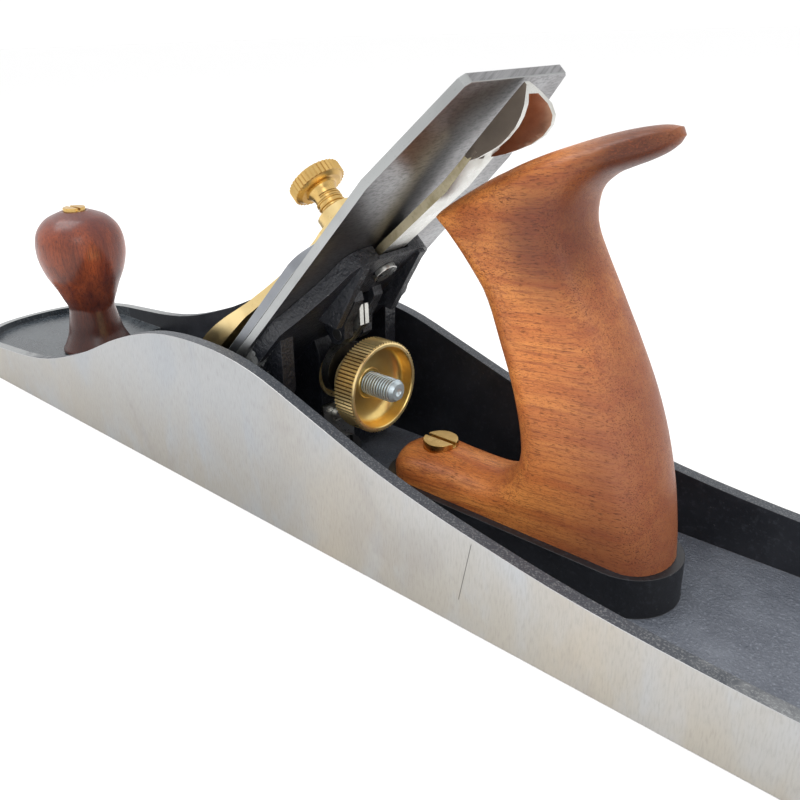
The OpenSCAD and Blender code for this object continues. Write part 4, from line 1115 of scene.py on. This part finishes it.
@dataclass
class DepthAdjuster:
    """Cupped wheel with its knurl, the threaded stud and the forked yoke, in millimetres."""

    axis_height: float = 40.5
    band_front: float = -33.0
    band_rear: float = -24.5
    wheel_radius: float = 15.2
    flange_radius: float = 8.5
    flange_end: float = 2.0
    groove_radius: float = 5.7
    groove_end: float = 7.6
    hub_radius: float = 9.0
    bowl_radius: float = 13.7
    bowl_rise: float = 1.0
    band_depth: float = 1.5
    lip: float = 0.7
    ridge_count: int = 76
    ridge_height: float = 0.5
    ridge_share: float = 0.64
    stud_radius: float = 3.95
    stud_tip: float = -18.6
    plain_tip: float = 1.5
    thread_gap: float = 0.4
    pitch: float = 1.1
    thread_height: float = 0.42
    yoke_gap: float = 0.6
    meeting: float = 0.2
    tongue_above: float = 54.0
    fork_below: float = 52.0

    def along(self, x: float) -> Matrix:
        """Returns the frame on the wheel's axis at an X, with its Z towards the heel."""
        return turned_about_y((x, 0, self.axis_height), 90)

    def wheel_outline(self, front: float) -> list[tuple[float, float]]:
        """Draws the wheel's section.

        Args:
            front: X of the wheel's front flange.

        Returns:
            Radius, and distance behind the front flange, of each point.
        """
        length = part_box("adjuster_wheel")[1].x / MM - front
        band = self.band_front - front
        core = self.wheel_radius - self.ridge_height
        wheel, groove, hub = self.flange_radius, self.groove_radius, self.hub_radius
        near, far, ease = self.flange_end, self.groove_end, 0.3
        flange = [(4.05, ease), (4.3, 0.0), (wheel - 0.6, 0.0), (wheel - 0.15, 0.2), (wheel, 0.6),
                  (wheel, near - ease), (wheel - ease, near), (groove + ease, near),
                  (groove, near + ease), (groove, far - ease), (groove + ease, far),
                  (hub - 0.6, far), (hub, far + 0.6), (hub, band - 0.4), (hub + 0.4, band)]
        knurled = [(core - 1.0, band), (core - 0.3, band + 0.25), (core, band + 0.8),
                   (core, length - 0.75), (core + 0.1, length - 0.5), (core, length - 0.2),
                   (self.wheel_radius - 0.85, length)]
        cup = [(13.6, length - 0.05), (13.35, length - 0.4), (13.2, band + 4.8),
               (12.9, band + 3.8), (12.0, band + 2.8), (10.6, band + 2.2), (9.2, band + 1.85),
               (7.0, band + 1.75), (5.2, band + 1.75), (4.9, band + 1.95), (4.3, band + 1.95),
               (4.05, band + 1.8)]
        return flange + knurled + cup

    def wheel_finish(self, centre: Vector) -> int:
        """Chooses the finish of a face of the wheel.

        Args:
            centre: The face's middle.

        Returns:
            The number of the finish: 0 for the plain turning, 1 for the bowl, 2 for the band.
        """
        off = math.hypot(centre.y / MM, centre.z / MM - self.axis_height)
        x = centre.x / MM
        if x > self.band_front + self.bowl_rise and off < self.bowl_radius:
            return 1
        # The band under the ridges gets grime and painted shade
        on_band = off > self.wheel_radius - self.band_depth and x < self.band_rear - self.lip
        return 2 if on_band else 0

    def build(self) -> None:
        """Makes and dresses the pieces."""
        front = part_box("adjuster_wheel")[0].x / MM
        wheel = lathe("adjuster_wheel_turned", self.wheel_outline(front), self.along(front),
                      (Paint.WHEEL, Paint.BOWL, Paint.GROOVES), closed=True)
        for face in wheel.data.polygons:
            face.material_index = self.wheel_finish(face.center)
        settle(wheel, "adjuster_wheel", "adjuster_wheel")
        length = self.band_rear - self.band_front - 1.0
        settle(knurl("wheel_knurl", self.along(self.band_front + 0.55 + length / 2), Paint.WHEEL,
                     self.ridge_count, self.wheel_radius - self.ridge_height, length,
                     self.ridge_height, self.ridge_share), "adjuster_wheel")
        self.build_stud()
        for node, side in (("yoke_left", -1), ("yoke_right", 1)):
            self.build_yoke(node, side)

    def build_stud(self) -> None:
        """Makes the stud's core and its thread."""
        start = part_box("adjuster_stud")[0].x / MM
        core = self.stud_radius - self.thread_height
        length = self.stud_tip - start
        outline = [(0.0, 0.0), (core, 0.0), (core, length - 1.3), (core - 0.2, length - 0.9),
                   (self.stud_radius - 1.3, length), (1.4, length), (0.9, length - 0.5),
                   (0.0, length - 0.8)]
        stud = lathe("adjuster_stud_core", outline, self.along(start), (Paint.ZINC, Paint.SCREW),
                     64)
        # Painted shade: the core between the thread's turns gets the dull screw grey, the plain
        # tip stays zinc
        for face in stud.data.polygons:
            face.material_index = int(face.center.x / MM < self.stud_tip - self.plain_tip)
        settle(stud, "adjuster_stud", "adjuster_stud")
        settle(thread("adjuster_stud_thread", self.along(start + self.thread_gap), Paint.ZINC,
                      self.pitch, core, length - self.plain_tip, self.thread_height),
               "adjuster_stud")

    def build_yoke(self, node: str, side: int) -> None:
        """Makes one pressed half of the yoke, with a fine gap at its tongue.

        Args:
            node: The solid.
            side: Which way it lies from the middle, -1 or 1.
        """
        yoke = dress(node, Paint.NICKEL, Edge(0.6 * MM, 3), Paint.YOKE, Paint.FORK)
        # Painted shade on the low fork faces that look towards the toe or the heel
        for face in yoke.data.polygons:
            if abs(face.normal.x) > SQUARELY and face.center.z < self.fork_below * MM:
                face.material_index = 2
        for point in yoke.data.vertices:
            if abs(point.co.y) < self.meeting * MM and point.co.z > self.tongue_above * MM:
                point.co.y += side * self.yoke_gap * MM / 2


@dataclass
class Blade:
    """Cutting iron, cap iron and the screw between them."""

    edge: Edge = Edge(0.3 * MM)

    def build(self) -> None:
        """Makes and dresses the pieces."""
        iron = dress("iron", Paint.IRON, Edge(0.25 * MM), Paint.IRON_EDGE)
        for face in iron.data.polygons:
            if abs(face.normal.y) > PARTLY:
                face.material_index = 1
        dress("cap_iron", Paint.CAP_IRON, self.edge, Paint.IRON_EDGE)
        dress("cap_iron_screw", Paint.SCREW, self.edge)


@dataclass
class LateralLever:
    """Swinging lever with its folded thumb tab and its roller, in millimetres.

    Rows of the tab's tables start with a share of its length. Then middle gives the place
    across the tab where its wings part, and wings gives the depth of the solid's wings as a
    share of their greatest, the true depths of the near and the far wing, and the far one's
    flare.
    """

    bed: Bed = field(default_factory=Bed)
    tab_up: float = 167.68
    tab_length: float = 22.2
    web: tuple[float, float] = (-4.8, 3.9)
    solid_depth: float = 7.5
    finest: float = 1.6
    rounds: int = 3
    far_curl: float = 1.3
    fold: float = 0.3
    wings_from: float = 0.02
    barely: float = 0.05
    wholly: float = 0.8
    middle: Rows = (
        (0, 0), (0.12, 0.45), (0.35, 1.2), (0.5, 1.6), (0.65, 1.9), (0.86, 2.1), (1, 1.75))
    wings: tuple[tuple[float, float, float, float, float], ...] = (
        (0, 0.1, 0.5, 0.6, 0.4), (0.05, 0.36, 1.2, 1.6, 1.4), (0.12, 0.56, 2.2, 2.8, 3.2),
        (0.21, 0.78, 3.1, 4.0, 5.0), (0.35, 0.93, 4.5, 5.6, 7.2), (0.5, 1, 5.25, 6.5, 8.8),
        (0.65, 1, 5.35, 6.6, 9.3), (0.76, 0.94, 4.8, 5.9, 8.8), (0.86, 0.79, 3.7, 4.3, 6.9),
        (0.94, 0.64, 2.2, 2.4, 3.4), (1, 0.52, 0.9, 0.9, 0.5))

    def share_of(self, up: float) -> float:
        """Returns how far along the tab a distance up the bed lies, from 0 to 1."""
        return min(max((up - self.tab_up) / self.tab_length, 0.0), 1.0)

    def base(self, share: float) -> float:
        """Returns the height of the tab's web above the bed."""
        return self.web[0] + self.web[1] * share

    def bent(self, up: float, y: float, height: float) -> Point:
        """Moves a point of the straight tab to the bent one.

        Args:
            up: Distance up the bed.
            y: Distance across it.
            height: Height above it, below the tab's web.

        Returns:
            The same three for the point's new place.
        """
        share = self.share_of(up)
        full, near_depth, far_depth, flare = (between(self.wings, share, k) for k in range(1, 5))
        part = min((self.base(share) - height) / (full * self.solid_depth), 1.0)
        if y < between(self.middle, share):
            return up, y, self.base(share) - near_depth * part
        return up, y + flare * part ** self.far_curl, self.base(share) - far_depth * part

    def shaped(self) -> bpy.types.Object:
        """Bends the wings of a copy of the solid as on the real tab.

        Returns:
            The copy.
        """
        place = self.bed.place()
        back = place.inverted()
        work = welded(frame["nodes"]["lateral_lever"])
        for _ in range(self.rounds):
            long = [e for e in work.edges if e.calc_length() > self.finest * MM
                    and all((back @ v.co).x / MM > self.tab_up - 1 for v in e.verts)]
            bmesh.ops.subdivide_edges(work, edges=long, cuts=1)
            bmesh.ops.triangulate(work, faces=work.faces)
        for point in work.verts:
            up, y, height = (back @ point.co) / MM
            if up >= self.tab_up and height < self.base(self.share_of(up)):
                point.co = place @ (Vector(self.bent(up, y, height)) * MM)
        return piece_of("lever_shaped", work)

    def finish_of(self, centre: Vector, normal: Vector) -> int:
        """Chooses the finish of a face: plate, sheared edge, or a wing's outside or inside.

        Args:
            centre: The face's middle.
            normal: Its direction.

        Returns:
            The number of the finish.
        """
        up, y, height = (self.bed.place().inverted() @ centre) / MM
        share = self.share_of(up)
        far = y > between(self.middle, share) + self.fold
        on_wings = share > self.wings_from
        if on_wings and not far and normal.y < -self.barely:
            return 2
        if on_wings and height < self.base(share) and abs(normal.y) > PARTLY:
            return 3 if far == (normal.y < 0) else 2
        return 1 if share == 0 and abs(normal.y) > self.wholly else 0

    def build(self) -> None:
        """Makes and dresses the pieces."""
        rough = self.shaped()
        lever = eased("lateral_lever_dressed", rough, Edge(0.22 * MM, 2, 40, join_flat=False),
                      (Paint.NICKEL, Paint.SHEARED, Paint.WING, Paint.WING_INSIDE))
        bpy.data.objects.remove(rough)
        for face in lever.data.polygons:
            face.material_index = self.finish_of(face.center, face.normal)
        settle(lever, "lateral_lever", "lateral_lever")
        dress("lateral_roller", Paint.NICKEL, Edge(0.2 * MM))


@dataclass
class LeverCap:
    """Brass lever cap, the screw it hangs on and the knurled thumbscrew, in millimetres."""

    bed: Bed = field(default_factory=Bed)
    screw_up: float = 115
    screw_foot: float = 5.98
    head_low: float = 28
    head_height: float = 5.4
    head_radius: float = 8.9
    stem_radius: float = 4.5
    ridge_count: int = 36
    ridge_height: float = 0.5
    thread_from: float = 8
    thread_to: float = 24.8
    pitch: float = 1.5
    thread_height: float = 0.5

    def screw_outline(self) -> list[tuple[float, float]]:
        """Draws the thumbscrew's section.

        Returns:
            Radius, and height above the bed, of each point.
        """
        low, stem, core = self.screw_foot, self.stem_radius, self.head_radius - self.ridge_height
        under, top = self.head_low, self.head_low + self.head_height
        return [(0, low), (stem - 1, low), (stem - 0.5, low + 0.7), (stem - 0.5, under - 2.4),
                (stem - 0.1, under - 1.6), (stem + 0.35, under - 0.4), (stem + 0.9, under),
                (core - 1.5, under), (core - 0.2, under + 0.9), (core, under + 1.2),
                (core, top - 1.2), (core - 0.2, top - 0.8), (core - 1.5, top), (0, top)]

    def build(self) -> None:
        """Makes and dresses the pieces."""
        dress("lever_cap", Paint.CAP, Edge(0.6 * MM, 3))
        dress("lever_cap_screw", Paint.NICKEL, Edge(0.3 * MM))
        settle(lathe("thumbscrew_turned", self.screw_outline(), self.bed.place(self.screw_up),
                     (Paint.THUMB,), 64), "thumbscrew", "thumbscrew")
        middle = self.bed.place(self.screw_up, self.head_low + self.head_height / 2)
        settle(knurl("thumbscrew_knurl", middle, Paint.THUMB, self.ridge_count,
                     self.head_radius - self.ridge_height, self.head_height - 1.8,
                     self.ridge_height, 1.0), "thumbscrew")
        settle(thread("thumbscrew_thread", self.bed.place(self.screw_up, self.thread_from),
                      Paint.THUMB, self.pitch, self.stem_radius - self.thread_height,
                      self.thread_to - self.thread_from, self.thread_height), "thumbscrew")


@dataclass(frozen=True)
class Bore:
    """A hole in the handle: its lowest and its highest point, and its radius."""

    low: float
    high: float
    radius: float


@dataclass(frozen=True)
class Tight:
    """A place where the handle's edge is rounded over little, and how fast that grows."""

    place: tuple[float, float]
    least: float
    growth: float

    def rounding(self, point: Vector) -> float:
        """Returns the most that the edge may be rounded over at a point."""
        return self.least + self.growth * (point - Vector(self.place)).length


@dataclass
class Handle:
    """Carved handle: two rails lofted into a rounded grip, then drilled.

    Its sizes are millimetres from the foot's front and from the boss that it stands on. The
    rails run on below the boss, and the loft is cut there.
    """

    foot_x: float = -16.5
    boss_top: float = 17.5
    width: float = 24.0
    edge: float = 9.5
    top_edge: float = 4.5
    top_from: float = 83.4
    top_slope: float = 0.33
    rear_rail: Rows = (
        (8, -16), (12, -16), (16, -16), (21, -16), (28, -16), (37, -16), (50, -16),
        (74, -16), (92.2, -14), (92.2, 0), (91.2, 10.5), (89.4, 21.5), (86.2, 34),
        (82, 45.4), (76.4, 57), (70.4, 68), (65.2, 76.8), (62.1, 83), (61.6, 88),
        (63, 92.6), (67.4, 96.6), (72, 98.8), (76, 100.5), (79.6, 102.4), (82, 104.3))
    front_rail: Rows = (
        (0, -16), (0, 0), (1.6, 5.8), (8, 9.5), (18, 10.6), (28, 10.5), (38, 10.9),
        (44.6, 14), (47.4, 19.6), (47.3, 27.4), (44.6, 39.1), (40.4, 50.5), (34.9, 61.4),
        (28.2, 70.2), (21.9, 77.3), (18.0, 81.2), (18.9, 84.0), (28.9, 90.2),
        (39.1, 95.6), (48.7, 99.8), (57.6, 103), (65.4, 105.5), (72.6, 107.3),
        (78.4, 108.2), (82.1, 108))
    horn_tip: Tight = Tight((83.3, 106.2), 0.9, 0.2)
    nose: Tight = Tight((17.8, 82), 1.5, 0.34)
    foot_nose: Tight = Tight((2.5, 4.5), 3.5, 0.3)
    cut_edge: tuple[float, float] = (0.5, 0.6)
    nose_slim: Rows = (
        (16, 0.44), (17.6, 0.46), (20.2, 0.52), (24.2, 0.6), (29.4, 0.69), (35.4, 0.79),
        (42, 0.91), (48, 1.0))
    nose_from: Rows = ((48, 0), (52, 0.15), (60, 0.85), (64, 1))
    horn_slim: Rows = (
        (54, 1.0), (62, 0.92), (68, 0.8), (73.4, 0.61), (77.4, 0.46), (80.2, 0.35),
        (82, 0.24), (83.3, 0.1))
    horn_from: Rows = ((80, 0), (92, 1))
    rod_x: float = 75.0
    rod_lean: float = 19.5
    rod_bores: tuple[Bore, ...] = (Bore(-8, 95.1, 3.3), Bore(94.1, 124.1, 4.9))
    screw_x: float = 15.2
    screw_bores: tuple[Bore, ...] = (Bore(-8, 10.3, 2.8), Bore(9.3, 30, 5.6))
    merge: float = 0.004
    curve_steps: int = 4
    edge_steps: int = 8
    side_steps: int = 10

    def curve(self, rail: Rows) -> list[Vector]:
        """Draws a smooth curve through the points of a rail.

        Args:
            rail: The points.

        Returns:
            The curve's points.
        """
        pts = [Vector(p) for p in rail]
        last = len(pts) - 1
        out = []
        for i in range(last):
            a, b, c, d = pts[max(i - 1, 0)], pts[i], pts[i + 1], pts[min(i + 2, last)]
            for k in range(self.curve_steps):
                t = k / self.curve_steps
                out.append(0.5 * (2 * b + (c - a) * t + (2 * a - 5 * b + 4 * c - d) * t * t
                                  + (3 * b - a - 3 * c + d) * t ** 3))
        return out + [pts[last]]

    def rounding(self, point: Vector) -> float:
        """Tells how far the edge is rounded over at a point of the outline.

        Args:
            point: The point.

        Returns:
            How far.
        """
        on_top = point.y > self.top_from + self.top_slope * (point.x - self.nose.place[0])
        least, growth = self.cut_edge
        return min(self.top_edge if on_top else self.edge,
                   least + growth * (point.y - self.front_rail[0][1]),
                   *(tight.rounding(point) for tight in (self.horn_tip, self.nose,
                                                         self.foot_nose)))

    def half(self, x: float, z: float) -> float:
        """Gives the half width at a point, as a share of the full one.

        Args:
            x: Distance from the foot's front.
            z: Height above the boss.

        Returns:
            The share, 0 to 1.
        """
        share = 1 - (1 - between(self.nose_slim, x)) * between(self.nose_from, z)
        share *= 1 - (1 - between(self.horn_slim, x)) * between(self.horn_from, z)
        r = self.width / 2
        if x < r and z < self.nose_from[0][0]:
            share *= math.sqrt(max(0.0, 1 - ((r - x) / r) ** 2))
        return share

    def section(self, rear: tuple[Vector, Vector], front: tuple[Vector, Vector]) -> list[Point]:
        """Draws one closed section between the rails.

        Args:
            rear: Point on the rear rail, and its way inwards.
            front: The same for the front rail.

        Returns:
            The section's points.
        """
        r = self.width / 2
        turns = [math.radians(90 * k / self.edge_steps)
                 for k in range(-self.edge_steps, self.edge_steps + 1)]
        flat = []
        for (point, inward), other, order in ((rear, front, turns), (front, rear, turns[::-1])):
            flat += [(point + inward * (1 - math.cos(t)), r * math.sin(t)) for t in order]
            start, end = point + inward, other[0] + other[1]
            flat += [(start.lerp(end, k / self.side_steps), r * math.sin(order[-1]))
                     for k in range(1, self.side_steps)]
        return [(p.x, y * self.half(p.x, p.y), p.y) for p, y in flat]

    def loft(self) -> bpy.types.Object:
        """Lofts the handle and cuts it flat at its foot.

        Returns:
            The undrilled handle.
        """
        rear, front = self.curve(self.rear_rail), self.curve(self.front_rail)
        outline = rear + [Vector(self.horn_tip.place)] + front[::-1]
        n = len(outline)
        edge = []
        for i, point in enumerate(outline):
            run = (outline[(i + 1) % n] - outline[i - 1]).normalized()
            edge.append((point, Vector((-run.y, run.x)) * self.rounding(point)))
        stations = [self.section(edge[i], edge[n - 1 - i]) for i in range(len(rear) + 1)]
        work = bmesh.new()
        skin(work, [[work.verts.new(p) for p in ring] for ring in stations])
        bmesh.ops.remove_doubles(work, verts=work.verts, dist=self.merge)
        parts = work.verts[:] + work.edges[:] + work.faces[:]
        bmesh.ops.bisect_plane(work, geom=parts, dist=0.0001, plane_co=(0, 0, 0),
                               plane_no=(0, 0, -1), clear_outer=True)
        bmesh.ops.holes_fill(work, edges=[e for e in work.edges if e.is_boundary])
        bmesh.ops.triangulate(work, faces=[f for f in work.faces if len(f.verts) > 4])
        bmesh.ops.recalc_face_normals(work, faces=work.faces)
        return piece_of("handle_loft", work, self.stand() @ Matrix.Scale(MM, 4))

    def stand(self, x: float = 0.0, lean: float = 0.0) -> Matrix:
        """Returns the frame on the boss at a distance from the foot's front."""
        return turned_about_y((self.foot_x + x, 0, self.boss_top), -lean)

    def drill(self, piece: bpy.types.Object) -> None:
        """Bores the holes of the long rod, its nut and the foot's screw.

        Args:
            piece: The handle.
        """
        for place, bores in ((self.stand(self.rod_x, self.rod_lean), self.rod_bores),
                             (self.stand(self.screw_x), self.screw_bores)):
            for bore in bores:
                cutter = lathe("drill", ((0, bore.low), (bore.radius, bore.low),
                                         (bore.radius, bore.high), (0, bore.high)),
                               place, steps=48)
                cut = piece.modifiers.new("bore", "BOOLEAN")
                cut.operation = "DIFFERENCE"
                cut.solver = "EXACT"
                cut.object = cutter
                bake_modifiers(piece)
                bpy.data.objects.remove(cutter)

    def build(self) -> None:
        """Makes the handle in place of its solid."""
        rough = self.loft()
        self.drill(rough)
        piece = eased("handle_carved", rough, Edge(0.0, join_flat=False, smooth_below=48),
                      (Paint.TOTE,))
        bpy.data.objects.remove(rough)
        settle(piece, "tote", "tote")


@dataclass
class Grips:
    """Turned knob, handle and the brass and steel that hold them."""

    handle: Handle = field(default_factory=Handle)

    def build(self) -> None:
        """Makes and dresses the pieces."""
        dress("knob", Paint.KNOB, Edge(0.25 * MM, 2, 40, smooth_below=40))
        self.handle.build()
        for node in ("knob_nut", "tote_nut", "tote_screw"):
            dress(node, Paint.THUMB, Edge(0.3 * MM))
        for node in ("knob_rod", "tote_rod"):
            dress(node, Paint.SCREW, Edge(0.2 * MM))


@dataclass(frozen=True)
class Lamp:
    """A square soft light: its name, place, length of side and power in watts."""

    name: str
    place: Point
    side: float
    power: float

    def build(self, aim: Point) -> None:
        """Adds the light.

        Args:
            aim: The point that it faces.
        """
        data = bpy.data.lights.new(self.name, "AREA")
        data.shape = "SQUARE"
        data.size = self.side
        data.energy = self.power
        lamp = put_in_scene(self.name, data)
        lamp.location = self.place
        lamp.rotation_mode = "QUATERNION"
        lamp.rotation_quaternion = (Vector(aim) - Vector(self.place)).to_track_quat("-Z", "Y")


@dataclass
class Studio:
    """Floor, soft light and camera."""

    camera_at: Point = (0.14432, -0.17641, 0.14625)
    right: Point = (0.74357, 0.66814, -0.02637)
    up: Point = (-0.25727, 0.32228, 0.91102)
    lens: float = 37.12
    sensor: float = 36.0
    nearest: float = 0.01
    floor_half: float = 15.0
    floor_drop: float = 0.05 * MM
    floor_colour: Colour = (0.9, 0.9, 0.9)
    sky: float = 1.1
    aim: Point = (0.0, 0.0, 0.04)
    lamps: tuple[Lamp, ...] = (Lamp("overhead", (-0.45, -0.2, 1.0), 0.7, 7.0),
                               Lamp("near_side", (0.9, -0.7, 0.8), 0.6, 2.5))

    def floor(self) -> None:
        """Makes the plain pale floor."""
        mesh = bpy.data.meshes.new("floor")
        mesh.from_pydata([(x * self.floor_half, y * self.floor_half, -self.floor_drop)
                          for x, y in ((-1, -1), (1, -1), (1, 1), (-1, 1))], [], [(0, 1, 2, 3)])
        sh = Shader("pale_floor", Roughness=0.9)
        sh.set(Base_Color=self.floor_colour)
        mesh.materials.append(sh.material)
        put_in_scene("floor", mesh)

    def camera(self) -> None:
        """Makes the camera at the photograph's place."""
        data = bpy.data.cameras.new("camera")
        data.lens = self.lens
        data.sensor_width = self.sensor
        data.clip_start = self.nearest
        camera = put_in_scene("camera", data)
        right, up = Vector(self.right).normalized(), Vector(self.up).normalized()
        back = right.cross(up).normalized()
        turn = Matrix((right, up, back)).transposed().to_4x4()
        camera.matrix_world = Matrix.Translation(self.camera_at) @ turn
        bpy.context.scene.camera = camera

    def surroundings(self) -> None:
        """Fills the surroundings with a soft white."""
        world = bpy.data.worlds.new("studio")
        bpy.context.scene.world = world
        world.use_nodes = True
        back = world.node_tree.nodes["Background"]
        back.inputs["Color"].default_value = (1.0, 1.0, 1.0, 1.0)
        back.inputs["Strength"].default_value = self.sky

    def build(self) -> None:
        """Makes the floor, the camera, the surroundings and the lights."""
        self.floor()
        self.camera()
        self.surroundings()
        for lamp in self.lamps:
            lamp.build(self.aim)
        bpy.context.scene.view_settings.view_transform = "Standard"


def main() -> None:
    """Builds the sub-assemblies and the studio."""
    logging.basicConfig(level=logging.INFO, format="%(name)s %(message)s")
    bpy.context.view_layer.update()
    for part in (SoleCasting(), FrogUnit(), DepthAdjuster(), Blade(), LateralLever(), LeverCap(),
                 Grips(), Studio()):
        LOG.info("building %s", type(part).__name__)
        part.build()


if __name__ == "__main__":
    main()
